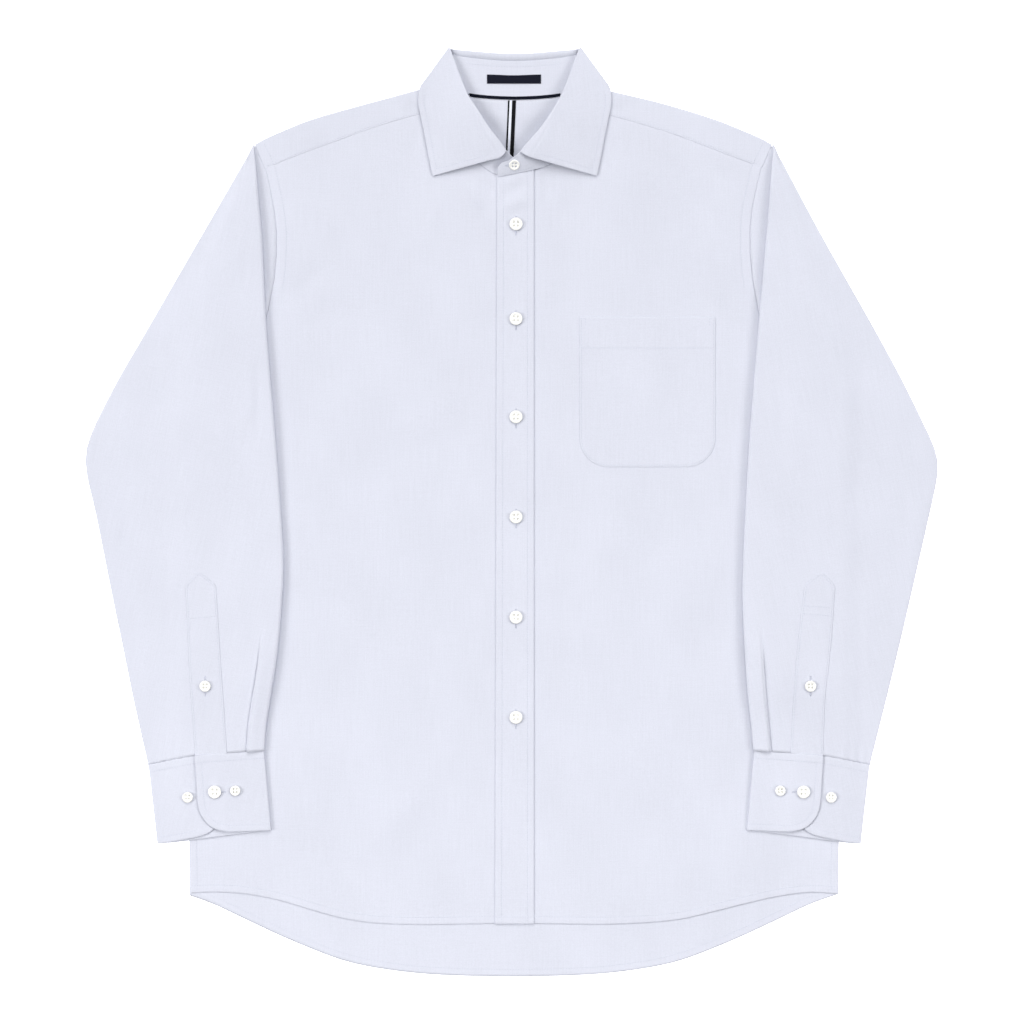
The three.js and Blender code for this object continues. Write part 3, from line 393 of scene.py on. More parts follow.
# Soft creases: both ends, the half width, and the height, which is below zero in a trough
BODY_CREASES = table(
    "x1 y1 x2 y2 width height",
    (129, 335, 176, 236, 9, -0.8),
    (-31, 305, -15, 276, 4.5, -0.8),
    (-13, 280, 19, 296, 4, -0.78),
    (27, 301, 35, 276, 5, -0.59),
    (-24, 272, -14, 250, 5, 0.45),
    (-43, 302, -27, 266, 6, 1.2),
    (-14, 268, 24, 285, 5, 1.3),
    (-12, 292, 18, 306, 3.5, 0.6),
    (37, 302, 47, 268, 6, 0.7),
    (108, 330, 140, 250, 8, 0.86),
    (169, 321, 203, 283, 8, -0.77),
    (222, 150, 150, 228, 8, -0.66),
    (-209, 176, -150, 232, 8, -0.8),
    (-212, 150, -120, 190, 12, -0.66),
    (-104, 352, -86, 282, 8, -0.77),
    (-60, 300, -92, 225, 9, 0.72),
    (98, 350, 84, 300, 7, -0.66),
    (-190, 290, -150, 235, 9, 0.86),
    (-30, 120, -120, 60, 14, 1),
    (60, 20, 150, -60, 16, -0.66),
    (-180, -60, -70, -130, 18, -0.77),
    (-60, -200, -150, -330, 14, 0.86),
    (90, -170, 160, -320, 15, -0.66),
    (-200, -290, -110, -352, 10, -0.77),
    (180, -250, 240, -335, 11, 0.86),
    (30, -60, 60, -230, 14, 0.72),
    (215, -60, 190, -220, 12, -0.66),
    (-215, 60, -190, -120, 12, 0.86),
)
SLEEVE_CREASES = {
    "left": table(
        "x1 y1 x2 y2 width height",
        (-233, 150, -233, 55, 4.5, -0.8),
        (-241, 170, -245, 40, 6, 0.59),
        (-290, 82, -293, 18, 12, -0.8),
        (-242, 250, -242, 190, 4, -0.52),
        (-317, 160, -326, 128, 8, -0.65),
        (-372, 40, -356, -50, 8, 0.78),
        (-357, 60, -344, -60, 9, -0.8),
        (-330, 110, -300, 20, 12, 0.65),
        (-262, 120, -276, -30, 10, 0.52),
        (-310, -20, -318, -150, 10, -0.65),
        (-236, -40, -243, -150, 7, -0.45),
        (-250, 300, -270, 235, 6, 0.39),
    ),
    "right": table(
        "x1 y1 x2 y2 width height",
        (240, 262, 250, 175, 5, -0.65),
        (233, 140, 238, 20, 6, -0.78),
        (262, 215, 300, 120, 10, 0.65),
        (286, 150, 318, 70, 11, -0.8),
        (330, 125, 352, 40, 9, 0.72),
        (352, 60, 338, -70, 10, -0.8),
        (372, 30, 352, -80, 7, 0.65),
        (300, 40, 296, -40, 12, -0.65),
        (308, -30, 312, -160, 10, 0.52),
        (250, 60, 246, -60, 8, 0.52),
        (232, -70, 238, -160, 7, -0.52),
    ),
}

# Colours, as the cloth and trim reflect them
CLOTH_COLOUR = (0.597, 0.616, 0.702)
TONE_SPREAD = 0.066
# Thread: the cloth's own colour, darkened as painted shade for the dips where the stitches sink into the
# cloth
THREAD_COLOUR_WITH_PAINTED_SHADE = (0.54, 0.565, 0.66)
TAPE_COLOUR = (0.003, 0.004, 0.011)
LABEL_COLOUR = (0.005, 0.006, 0.015)
SLEEVE_TURN = 0.2
COLLAR_TURN = 0.12

# Yarns: the size of a streak across, along and up, in metres, and how much it counts
YARNS = (
    ((0.0010, 0.035, 1.0), 0.22),
    ((0.022, 0.0011, 1.0), 0.15),
    ((0.0011, 0.0011, 0.0011), 0.38),
    ((0.05, 0.08, 0.1), 0.25),
)
THREAD_YARNS = (((0.0005, 0.0005, 0.0005), 0.6), ((0.004, 0.004, 0.004), 0.4))
WEAVE_PITCH = 0.0005
RIB_PITCH = 0.0008
WAVE_PERIOD = math.pi / 10

# Light: a blue-white sky, and soft lamps from the collar end and from both sides
SKY = {"colour": (0.92, 0.95, 1.0), "strength": 0.23}
LAMPS = table(
    "heading height brightness spread",
    (0, 44, 0.385, 40),
    (-90, 36, 0.37, 26),
    (90, 36, 0.28, 26),
)
LAMP_COLOUR = (1.0, 0.985, 0.965)
FLOOR_GLOW = 0.7
FILL = {"place": (-0.35, -0.8, 1.15), "aim": (0.0, -0.3, 0.0), "size": 1.0, "power": 2.3}


def level(number):
    """Height of the middle of the cloth in the layer with this number."""
    return WALL / 2 + number * LAYER


def mix(a, b, share):
    return a + (b - a) * share


def ease(value):
    t = np.clip(value, 0, 1)
    return t * t * (3 - 2 * t)


def look_up(rows, key, column, value, smooth=True):
    """Values of one column where another column has the given values."""
    order = np.argsort(rows[key], kind="stable")
    x = rows[key][order]
    y = rows[column][order]
    if not smooth:
        return np.interp(value, x, y)
    value = np.clip(value, x[0], x[-1])
    last = len(x) - 1
    k = np.clip(np.searchsorted(x, value, side="left") - 1, 0, last - 1)
    width = x[k + 1] - x[k]
    t = (value - x[k]) / width
    before = np.maximum(k - 1, 0)
    after = np.minimum(k + 2, last)
    start = (y[k + 1] - y[before]) / (x[k + 1] - x[before]) * width
    end = (y[after] - y[k]) / (x[after] - x[k]) * width
    t2 = t * t
    t3 = t2 * t
    whole = y[k] * (2 * t3 - 3 * t2 + 1) + y[k + 1] * (3 * t2 - 2 * t3)
    return whole + start * (t3 - 2 * t2 + t) + end * (t3 - t2)


def spaced(length, step, near_start=(), near_end=()):
    """Places along a length: an even step in the middle and the given offsets near the ends."""
    start = max(near_start, default=0)
    stop = length - max(near_end, default=0)
    count = max(1, int(round((stop - start) / step)))
    middle = np.linspace(start, stop, count + 1)
    ends = [length - d for d in near_end]
    return np.unique(np.round(np.concatenate([[0], near_start, middle, ends, [length]]), 6))


def curve_weights(count, places, breaks=()):
    """Weights that give points on a smooth curve through control points, with corners at the breaks."""
    weights = np.zeros((len(places), count))
    edges = [0, *breaks, count - 1]
    for row, place in enumerate(places):
        k = min(int(math.floor(place + 1e-9)), count - 2)
        t = place - k
        t2, t3 = t * t, t * t * t
        weights[row, k] += 2 * t3 - 3 * t2 + 1
        weights[row, k + 1] += 3 * t2 - 2 * t3
        slopes = ((t3 - 2 * t2 + t, k in edges, k - 1, k), (t3 - t2, k + 1 in edges, k, k + 1))
        for share, corner, before, here in slopes:
            if corner:
                weights[row, k] -= share
                weights[row, k + 1] += share
            else:
                weights[row, before] -= share / 2
                weights[row, here + 1] += share / 2
    return weights


def refine(points, places, breaks=()):
    """Points on the smooth lines of a grid, at these places along its first axis."""
    points = np.asarray(points, float)
    return np.tensordot(curve_weights(len(points), places, breaks), points, axes=(1, 0))


def places_between(count, parts):
    """Even places from 0 to count - 1, with this many parts in each step."""
    return np.linspace(0, count - 1, (count - 1) * parts + 1)


# Meshes


def weld(patches):
    """Joins grids of points that share edges into one list of points and quads."""
    quads = []
    start = 0
    for grid in patches:
        rows, columns = grid.shape[:2]
        ids = start + np.arange(rows * columns).reshape(rows, columns)
        quads.append(np.stack([ids[:-1, :-1], ids[1:, :-1], ids[1:, 1:], ids[:-1, 1:]], -1).reshape(-1, 4))
        start += rows * columns
    points = np.concatenate([grid.reshape(-1, 3) for grid in patches])
    keys = np.round(points * WELD_STEPS).astype(int)
    _, first, index = np.unique(keys, axis=0, return_index=True, return_inverse=True)
    return points[first], index.reshape(-1)[np.concatenate(quads)]


def vertex_normals(points, quads):
    a, b, c, d = (points[quads[:, k]] for k in range(4))
    face = np.cross(c - a, d - b)
    normals = np.zeros_like(points)
    for k in range(4):
        np.add.at(normals, quads[:, k], face)
    return normals / np.maximum(np.linalg.norm(normals, axis=1, keepdims=True), 1e-12)


def rim_edges(quads):
    """Edges that belong to one quad only, in that quad's direction."""
    pairs = np.concatenate([quads[:, [k, (k + 1) % 4]] for k in range(4)])
    pairs = pairs[pairs[:, 0] != pairs[:, 1]]
    _, index, counts = np.unique(np.sort(pairs, 1), axis=0, return_index=True, return_counts=True)
    return pairs[index[counts == 1]]


def put_in_scene(name, data):
    """A new object in the scene, with this mesh, camera or lamp."""
    made = bpy.data.objects.new(name, data)
    bpy.context.scene.collection.objects.link(made)
    return made


def new_object(name, points, faces, *materials):
    mesh = bpy.data.meshes.new(name)
    mesh.from_pydata((np.asarray(points) * MM).tolist(), [], faces)
    mesh.validate()
    for material in materials:
        mesh.materials.append(material)
    mesh.polygons.foreach_set("use_smooth", [True] * len(mesh.polygons))
    return put_in_scene(name, mesh)


def shell(name, patches, material, thickness=CLOTH):
    """A thin closed wall, with rounded edges, round a middle surface made of grids that share edges."""
    points, quads = weld(patches)
    normals = vertex_normals(points, quads)
    if normals[:, 2].sum() < 0:
        quads = quads[:, ::-1]
        normals = -normals
    rim = rim_edges(quads)
    half = np.full(len(points), thickness / 2)
    half[np.unique(rim)] *= RIM_SHARE
    offset = normals * half[:, None]
    count = len(points)
    faces = [tuple(dict.fromkeys(quad)) for quad in quads.tolist()]
    under = [tuple(i + count for i in reversed(face)) for face in faces]
    sides = [(b, a, a + count, b + count) for a, b in rim.tolist()]
    return new_object(name, np.vstack([points + offset, points - offset]), faces + under + sides, material)


def top_tree(piece):
    """A search tree of a piece, in millimetres."""
    corners = [v.co / MM for v in piece.data.vertices]
    return BVHTree.FromPolygons(corners, [tuple(p.vertices) for p in piece.data.polygons])


def drop(tree, x, y):
    """Where a line straight down first meets the piece, or else the nearest place on its top."""
    point, normal, _, _ = tree.ray_cast(Vector((x, y, 60.0)), Vector((0, 0, -1)))
    if point is None:
        point, normal, _, _ = tree.find_nearest(Vector((x, y, 9.0)))
    return point, normal


# Relief


def edge_distance(x, y, line):
    """Distance of each point to a line of points, seen from above."""
    p = np.stack([x, y], -1)[..., None, :]
    start, step = line[:-1], np.diff(line, axis=0)
    t = np.clip(((p - start) * step).sum(-1) / (step**2).sum(-1), 0, 1)
    return np.linalg.norm(p - start - t[..., None] * step, axis=-1).min(-1)


def seam_relief(x, y, line, stitch, puff=0.22, dip=0.2):
    """Height of a turned or felled edge: doubled cloth out to a row of stitches that pulls it down."""
    distance = edge_distance(x, y, line)
    doubled = puff * (1 - ease((distance - stitch) / 1.5))
    roll = ROLL_DEPTH * (1 - ease(distance / 1.1))
    pull = dip * np.exp(-(((distance - stitch) / 0.75) ** 2))
    wave = np.sin(0.41 * x + 0.53 * y) + np.sin(0.29 * y - 0.23 * x + 1)
    pucker = PUCKER * wave * np.exp(-(((distance - stitch) / 4) ** 2))
    return doubled - roll - pull + pucker


def groove(x, y, line, depth=0.25, width=0.8):
    return -depth * np.exp(-((edge_distance(x, y, line) / width) ** 2))


def soft_creases(x, y, rows):
    """Troughs and ridges, each along a line, fading to nothing at both ends."""
    z = np.zeros_like(x)
    for x1, y1, x2, y2, width, height in np.stack(list(rows.values()), 1):
        length = math.hypot(x2 - x1, y2 - y1)
        t = ((x - x1) * (x2 - x1) + (y - y1) * (y2 - y1)) / length**2
        aside = ((x - x1) * (y2 - y1) - (y - y1) * (x2 - x1)) / length
        aside = aside + length * 0.06 * np.sin(np.pi * np.clip(t, 0, 1))
        z += height * ease(t * 2.2) * ease((1 - t) * 2.2) * np.exp(-((aside / width) ** 2))
    return z


def body_lift(x, y):
    """Soft creases of the fronts, which everything that lies on them follows."""
    return soft_creases(x, y, BODY_CREASES)


# The body


def body_edge(side, y):
    return look_up(SIDE_EDGE, "y", side, y, smooth=False)


def back_armhole(side, y):
    return body_edge(side, y) + look_up(SIDE_EDGE, "y", "back", y, smooth=False)


def leaf_edge_y(x):
    out = np.append(LEAF_CREASE["edge"][0], LEAF_BACK["edge_out"])
    y = np.append(LEAF_CREASE["edge"][1], LEAF_BACK["edge_y"])
    return np.interp(np.abs(x - COLLAR_X), out[::-1], y[::-1])


def neck_rise(x, y):
    """Extra height near the neck, where the cloth lies over the back of the collar leaf."""
    out = np.abs(x - COLLAR_X)
    below = np.maximum(0, leaf_edge_y(x) - RISE_START - y)
    beside = np.maximum(0, out - LEAF_CREASE["edge"][0] - RISE_START * 2)
    return LAYER * (1 - ease(np.hypot(below, beside) / COLLAR_RISE_FADE))


def fill(bottom, top, outer, inner, u, v):
    """Grid inside four edges, each a list of points, at shares u along and v up."""
    u = u[None, :, None]
    v = v[:, None, None]
    upright = bottom[None] * (1 - v) + top[None] * v
    across = outer[:, None] * (1 - u) + inner[:, None] * u
    corners = (bottom[0] * (1 - u) + bottom[-1] * u) * (1 - v) + (top[0] * (1 - u) + top[-1] * u) * v
    return upright + across - corners


def hem_line(side, start=0):
    """A hem as a line of points, from the middle out; the back hem runs from side to side."""
    if side == "back":
        x = np.linspace(-294, 294, 70)
        return np.stack([x, look_up(HEM, "x", "back", np.abs(x))], 1)
    x = np.linspace(start, 291, 40)
    return np.stack([SIDES[side] * x, look_up(HEM, "x", side, np.maximum(x, 0))], 1)


def side_line(side, low=-343, high=114):
    y = np.linspace(low, high, 24)
    return np.stack([SIDES[side] * body_edge(side, y), y], 1)


def armhole_line(side):
    y = SIDE_EDGE["y"][8:]
    places = places_between(len(y), 4)
    return np.stack([SIDES[side] * refine(SIDE_EDGE[side][8:], places), refine(y, places)], 1)


def yoke_seam_line(side):
    out = np.linspace(68, 222, 30)
    return np.stack([SIDES[side] * out, look_up(YOKE_SEAM, "x", side, out)], 1)


def make_back():
    y0, y1 = SIDE_EDGE["y"][0], BACK_SEAM_Y
    y = np.unique(np.concatenate([SIDE_EDGE["y"][:15], spaced(y1 - y0, 6, HEM_PLACES, (1, 3)) + y0]))
    share = (y - y0) / (y1 - y0)
    left = np.stack([-back_armhole("left", y), y], 1)
    right = np.stack([back_armhole("right", y), y], 1)
    near = (0.0006, 0.0015, 0.004, 0.008, 0.012)
    u = spaced(1, 0.01, near, near)
    hem_x = mix(left[0, 0], right[0, 0], u)
    hem = np.stack([hem_x, look_up(HEM, "x", "back", np.abs(hem_x))], 1)
    seam_x = mix(left[-1, 0], right[-1, 0], u)
    seam = np.stack([seam_x, np.full_like(seam_x, y1 + LAP)], 1)
    left[0], right[0], left[-1], right[-1] = hem[0], hem[-1], seam[0], seam[-1]
    x, y = np.moveaxis(fill(hem, seam, left, right, u, share), 2, 0)
    z = level(0) + seam_relief(x, y, hem_line("back"), HEM_STITCH, 0.12, 0.1)
    return [np.dstack([x, y, z])]


def make_front(side):
    sign = SIDES[side]
    seam_row = 16
    y0, y1 = SIDE_EDGE["y"][0], SIDE_EDGE["y"][seam_row]
    inside = spaced(y1 - y0, 4, HEM_PLACES, (0.4, 1, 2.2, 4)) + y0
    y = np.unique(np.concatenate([SIDE_EDGE["y"][: seam_row + 1], inside]))
    share = (y - y0) / (y1 - y0)
    seam_x = YOKE_SEAM["x"][:0:-1]
    seam = np.stack([seam_x, look_up(YOKE_SEAM, "x", side, seam_x) - GAP], 1)
    seam[0] = (body_edge(side, y1), seam[0, 1])
    neck = np.stack([FRONT_NECK["out"] + COLLAR_X * sign, FRONT_NECK[side]], 1)
    top = np.vstack([seam, neck, [(FRONT_EDGE[side], FRONT_NECK_END[side])]])
    last = len(top) - 1
    near = (0.016, 0.04, 0.09, 0.16, 0.21, 0.25, 0.29, 0.33, 0.38)
    places = spaced(last, 0.16, near, (0.02, 0.06, 0.12))
    u = places / last
    top = refine(top, places, breaks=(len(seam),))
    out = mix(SIDE_EDGE[side][0], FRONT_EDGE[side], u)
    bottom = np.stack([out, look_up(HEM, "x", side, np.maximum(out, 0))], 1)
    outer = np.stack([body_edge(side, y), y], 1)
    outer[0], outer[-1] = bottom[0], top[0]
    inner = np.stack([np.full_like(y, FRONT_EDGE[side]), mix(bottom[-1, 1], top[-1, 1], share)], 1)
    x, y = np.moveaxis(fill(bottom, top, outer, inner, u, share), 2, 0)
    x = x * sign
    z = level(1) + neck_rise(x, y) + body_lift(x, y)
    hem = hem_line(side, FRONT_EDGE["left"])
    z -= HEM_SETTLE * (1 - ease(edge_distance(x, y, hem) / 45))
    z += seam_relief(x, y, hem, HEM_STITCH)
    z += seam_relief(x, y, side_line(side), SIDE_STITCH, 0.15, 0.12)
    z += seam_relief(x, y, armhole_line(side), ARMHOLE_STITCH, 0.2, 0.16)
    z -= YOKE_DIP * np.exp(-((edge_distance(x, y, yoke_seam_line(side)) / 1.6) ** 2))
    return [np.dstack([x, y, z])]


def yoke_station(side, back, fold, front, under, turn, over):
    """One line over the shoulder: from the back seam up, round the fold, and down to the front seam."""
    sign = SIDES[side]
    radius = LAYER / 2
    back, fold, front = (out + YOKE_WIDER[side] * ease((out - 150) / 70) for out in (back, fold, front))
    fold_y = look_up(SHOULDER, "x", side, fold) - WALL / 2 - radius
    seam_y = look_up(YOKE_SEAM, "x", side, front) - LAP
    start_y = BACK_SEAM_Y - LAP
    y_up = mix(start_y, fold_y, under)
    x_up = sign * mix(back, fold, under)
    z_up = level(0) + neck_rise(x_up, y_up)
    angle = np.pi * np.linspace(0, 1, turn + 2)[1:-1]
    z_turn = level(0) + neck_rise(sign * fold, fold_y) + radius * (1 - np.cos(angle))
    y_down = mix(fold_y, seam_y, over)
    x_down = sign * mix(fold, front, over)
    z_down = level(1) + neck_rise(x_down, y_down) + YOKE_LIP * ease(over * 2)
    z_down += seam_relief(x_down, y_down, yoke_seam_line(side) - (0, LAP), EDGE_STITCH, 0.05, 0.12)
    x = np.concatenate([x_up, np.full(turn, sign * fold), x_down])
    y = np.concatenate([y_up, fold_y + radius * np.sin(angle), y_down])
    return np.stack([x, y, np.concatenate([z_up, z_turn, z_down])], 1)


def make_yoke():
    under = np.linspace(0, 1, 26)
    close_steps = [0.01, 0.03, 0.06, 0.91, 0.94, 0.96, 0.975, 0.99]
    over = np.unique(np.concatenate([np.linspace(0, 1, 14), close_steps]))
    stations = []
    for side, sign in SIDES.items():
        rows = np.stack([YOKE_STATIONS[c] for c in ("back", "fold", "front")], 1)
        centre = COLLAR_X * sign
        neck = [YOKE_NECK_FOLD + centre, YOKE_NECK_FOLD + centre, YOKE_NECK_SEAM + centre]
        rows = np.vstack([rows, neck])
        places = spaced(len(rows) - 1, 0.14, (0.02, 0.06, 0.12, 0.2), (0.02, 0.06, 0.12))
        stations.append(np.array([yoke_station(side, *row, under, 6, over) for row in refine(rows, places)]))
    left, right = stations
    middle = [left[-1, : len(under)]]
    for out in np.linspace(-1, 1, 61)[1:-1] * BACK_NECK["out"][-1]:
        x = out + COLLAR_X
        top = look_up(BACK_NECK, "out", "y", abs(out)) - GAP
        y = mix(BACK_SEAM_Y - LAP, top, under)
        middle.append(np.stack([np.full_like(y, x), y, level(0) + neck_rise(x, y)], 1))
    middle.append(right[-1, : len(under)])
    return [left, np.array(middle), right[::-1]]


# The collar


def collar_point(sign, out, y, z=0.0):
    return np.array([COLLAR_X + sign * out, y, z])


def crease_stations(start, end, low, high, cells, sign):
    """Lines round a crease from one height to another, bulging away from its inner side."""
    start, end = np.array(start, float), np.array(end, float)
    direction = (end - start) / np.linalg.norm(end - start)
    outward = np.array([-direction[1], direction[0]])
    radius = (high - low) / 2
    lines = []
    for angle in np.linspace(0, np.pi, 9):
        flat = mix(start, end, np.linspace(0, 1, cells + 1)[:, None])
        flat = flat + outward * (radius * (math.sin(angle) - 1) - WALL / 2)
        z = np.full(cells + 1, low + radius * (1 - math.cos(angle)))
        lines.append(np.column_stack([COLLAR_X + sign * flat[:, 0], flat[:, 1], z]))
    return lines


def ruled(inner, outer, cells, bow=1):
    """A line from an inner to an outer point; a bow over 1 keeps it low for longer."""
    share = np.linspace(0, 1, cells + 1)[:, None]
    points = mix(np.asarray(inner), np.asarray(outer), share)
    points[:, 2] = mix(inner[2], outer[2], share[:, 0] ** bow)
    return points


def stand_neck(sign, out, y, height=None):
    """A neck seam point of the stand, lapped over the neckline of the body."""
    point = collar_point(sign, out, y)
    inward = np.array([COLLAR_X, COLLAR_CENTRE_Y]) - point[:2]
    point[:2] -= inward / np.linalg.norm(inward) * LAP
    flat = level(1) + neck_rise(point[0], point[1]) if height is None else height
    point[2] = flat + STAND_LIP
    return point


def mirrored_rows(rows):
    """Index and sign of each row of a half table, left side first, with the middle row once."""
    count = len(next(iter(rows.values())))
    return [(k, -1) for k in range(count)] + [(k, 1) for k in reversed(range(count - 1))]


def smooth_band(grid, front, crease, middle, cells):
    """A collar band made finer along and across; the stations of its side creases stay as they are."""
    first = front + crease
    breaks = (front, first - 1, first + middle, first + middle + crease - 1)
    steps = []
    for k in range(len(grid) - 1):
        in_crease = breaks[0] <= k < breaks[1] or breaks[2] <= k < breaks[3]
        steps.extend(k + np.linspace(0, 1, 2 if in_crease else 7)[:-1])
    near_end = len(grid) - 1 - np.array([0.12, 0.06, 0.02, 0])
    steps = np.unique(np.round([0.02, 0.06, 0.12, *steps, *near_end], 5))
    along = refine(grid, steps, breaks)
    near = (0.03, 0.08, 0.16)
    across = spaced(cells, 0.14, near, near)
    return np.swapaxes(refine(np.swapaxes(along, 0, 1), across), 0, 1)


def make_stand():
    cells = 4

    def half(side):
        sign = SIDES[side]
        end = STAND_END[side]
        lines = []
        for k in reversed(range(len(end["top"]))):
            neck = stand_neck(sign, end["neck_out"][k], end["neck_y"][k], end["neck"][k])
            top = collar_point(sign, end["top_out"][k], end["top_y"][k], end["top"][k])
            lines.append(ruled(neck, top, cells, end["bow"][k]))
        for k in reversed(range(len(STAND_SIDE["top_y"]))):
            neck = stand_neck(sign, STAND_SIDE["neck_out"][k], STAND_SIDE["neck_y"][k])
            top = collar_point(sign, STAND_SIDE["top_out"][k], STAND_SIDE["top_y"][k], STAND_SIDE[side][k])
            lines.append(ruled(neck, top, cells))
        crease = crease_stations(STAND_CREASE["neck"], STAND_CREASE["top"], level(2), level(1), cells, sign)
        return lines, crease

    middle = []
    for k, sign in mirrored_rows(STAND_BACK):
        neck_y = look_up(BACK_NECK, "out", "y", STAND_BACK["neck_out"][k]) + GAP
        neck = collar_point(sign, STAND_BACK["neck_out"][k], neck_y, level(1))
        top = collar_point(sign, STAND_BACK["top_out"][k], STAND_BACK["top_y"][k], level(1))
        middle.append(ruled(neck, top, cells))
    left, left_crease = half("left")
    right, right_crease = half("right")
    grid = np.array(left + left_crease + middle + right_crease[::-1] + right[::-1])
    fine = smooth_band(grid, len(left), len(left_crease), len(middle), cells)
    x, y, z = np.moveaxis(fine, 2, 0)
    z += groove(x, y, stand_stitch_line(), 0.15)
    for line in stand_end_lines():
        z += seam_relief(x, y, line, EDGE_STITCH, 0, 0.12)
    return [np.dstack([x, y, z])]


def stand_stitch_line():
    """The row of stitches below the top edge of the stand, across the back of the neck."""
    out = np.linspace(-44, 44, 30)
    return np.stack([COLLAR_X + out, look_up(STAND_BACK, "top_out", "top_y", np.abs(out)) - 5.4], 1)


def stand_end_lines():
    """The buttoned end of the stand: its neck seam, and its rounded front edge."""
    end = STAND_END["right"]
    seam = np.array([stand_neck(1, x, y, 0)[:2] for x, y in zip(end["neck_out"], end["neck_y"])])
    top = np.stack([COLLAR_X + end["top_out"], end["top_y"]], 1)
    return seam, top


def leaf_outline(side):
    """Outer edge of the leaf on the front: down the side to the point, and along the bottom edge."""
    sign = SIDES[side]
    edge = np.stack([LEAF_FRONT["edge_out"], LEAF_FRONT["edge_y"]], 1)
    end = (LEAF_FRONT["fold_out"][-1], LEAF_FRONT["fold_y"][-1])
    line = np.vstack([[LEAF_CREASE["edge"]], edge, [end]])
    return line * (sign, 1) + (COLLAR_X, 0)


def lip_end(line, sign):
    """The back fold carried on from its last line into the crease at the side of the neck."""
    first, last = LEAF_BACK["fold_y"][0], LEAF_CREASE["fold"][1]
    lines = []
    for out in LEAF_CORNER:
        share = (out - LEAF_BACK["fold_out"][0]) / (LEAF_CREASE["fold"][0] - LEAF_BACK["fold_out"][0])
        moved = line + (0, (last - first) * share, 0)
        moved[:, 0] = COLLAR_X + sign * out
        lines.append(moved)
    return np.array(lines)


def make_leaf():
    radius = LAYER / 2
    turn = 6

    def half(side):
        sign = SIDES[side]
        lines = []
        for k in reversed(range(len(LEAF_FRONT["fold_y"]))):
            inner = collar_point(
                sign, LEAF_FRONT["fold_out"][k], LEAF_FRONT["fold_y"][k], LEAF_FRONT[side][k]
            )
            outer = collar_point(sign, LEAF_FRONT["edge_out"][k], LEAF_FRONT["edge_y"][k])
            outer[2] = level(2) + neck_rise(outer[0], outer[1])
            roll = collar_point(
                sign, LEAF_ROLL[f"{side}_out"][k], LEAF_ROLL[f"{side}_y"][k], LEAF_ROLL[side][k]
            )
            start = mix(roll, outer, 0.04) if k < 3 else inner
            lines.append(np.vstack([[roll], ruled(start, outer, LEAF_CELLS)]))
        crease = crease_stations(
            LEAF_CREASE["fold"], LEAF_CREASE["edge"], LEAF_CREASE["high"], level(0), LEAF_CELLS + 1, sign
        )
        return lines, crease

    middle = []
    folds = []
    for k, sign in mirrored_rows(LEAF_BACK):
        fold_out = LEAF_BACK["fold_out"][k]
        fold_y = LEAF_BACK["fold_y"][k] - radius - WALL / 2
        lip_y = look_up(STAND_BACK, "top_out", "top_y", fold_out) - LAP
        lip = [collar_point(sign, fold_out, lip_y, level(1) - 0.5)]
        for angle in np.linspace(0, np.pi, turn + 1):
            y = fold_y + radius * math.sin(angle)
            lip.append(collar_point(sign, fold_out, y, level(1) - radius * (1 - math.cos(angle))))
        inner = collar_point(sign, fold_out, fold_y, level(0))
        outer = collar_point(sign, LEAF_BACK["edge_out"][k], LEAF_BACK["edge_y"][k], level(0))
        folds.append(lip)
        middle.append(ruled(inner, outer, LEAF_CELLS + 1))
    left, left_crease = half("left")
    right, right_crease = half("right")
    grid = np.array(left + left_crease + middle + right_crease[::-1] + right[::-1])
    fine = smooth_band(grid, len(left), len(left_crease), len(middle), LEAF_CELLS + 1)
    lip = refine(np.array(folds), places_between(len(folds), 6))
    start = np.argmin(np.abs(fine[:, 0] - lip[0, -1]).sum(1))
    lip[:, -1] = fine[start:start + len(lip), 0]
    lip = np.concatenate([lip_end(lip[0], -1)[::-1], lip, lip_end(lip[-1], 1)])
    x, y, z = np.moveaxis(fine, 2, 0)
    on_top = ease((z - level(1)) / LAYER)
    for side in SIDES:
        z += on_top * seam_relief(x, y, leaf_outline(side), COLLAR_STITCH, 0.25, 0.2)
        z += on_top * groove(x, y, LEAF_SEAM[side], 0.35, 0.7)
    return [np.dstack([x, y, z]), lip]


# The sleeves


def under_height(side, out, y):
    """Middle height of the sleeve's under layer: on the body inside its edge, on the surface outside."""
    seam = body_edge(side, np.minimum(y, UNDERARM_Y)) + SEAM_OUT
    return level(0) + 2 * LAYER * ease(1 - (out - seam) / RAMP)


def cuff_sag(share):
    """Share of the slant of the cuff's top edge at this share of the sleeve's width."""
    first, last = CUFF_TOP["y"][0], CUFF_TOP["y"][-1]
    out = mix(CUFF_TOP["out"][0], CUFF_TOP["out"][-1], share)
    return (look_up(CUFF_TOP, "out", "y", out) - first) / (last - first)


def pleat_shape(distance):
    """Height of the pleat at a distance from the inner fold: its edge drops steeply towards the placket."""
    beyond = distance - PLEAT_OFFSET - PLEAT_SPREAD
    flap = ease(distance / PLEAT_OFFSET) * (1 - ease((distance - PLEAT_OFFSET) / PLEAT_SPREAD))
    return flap - 0.4 * np.exp(-((beyond / 0.8) ** 2)) - 0.3 * np.exp(-(((beyond - 3) / 4) ** 2))


def fold_places(span):
    """Distances from the inner fold: close near it and at the pleat, wider beyond."""
    near = np.concatenate([np.linspace(0, 12, 9), PLEAT_OFFSET + np.linspace(-1.5, 4, 12)])
    far = near[-1] + (span - near[-1]) * np.linspace(0, 1, 16)[1:]
    places = np.concatenate([near, far])
    return places if span > near[-1] * 1.5 else np.linspace(0, 1, len(places)) * max(span, 0)


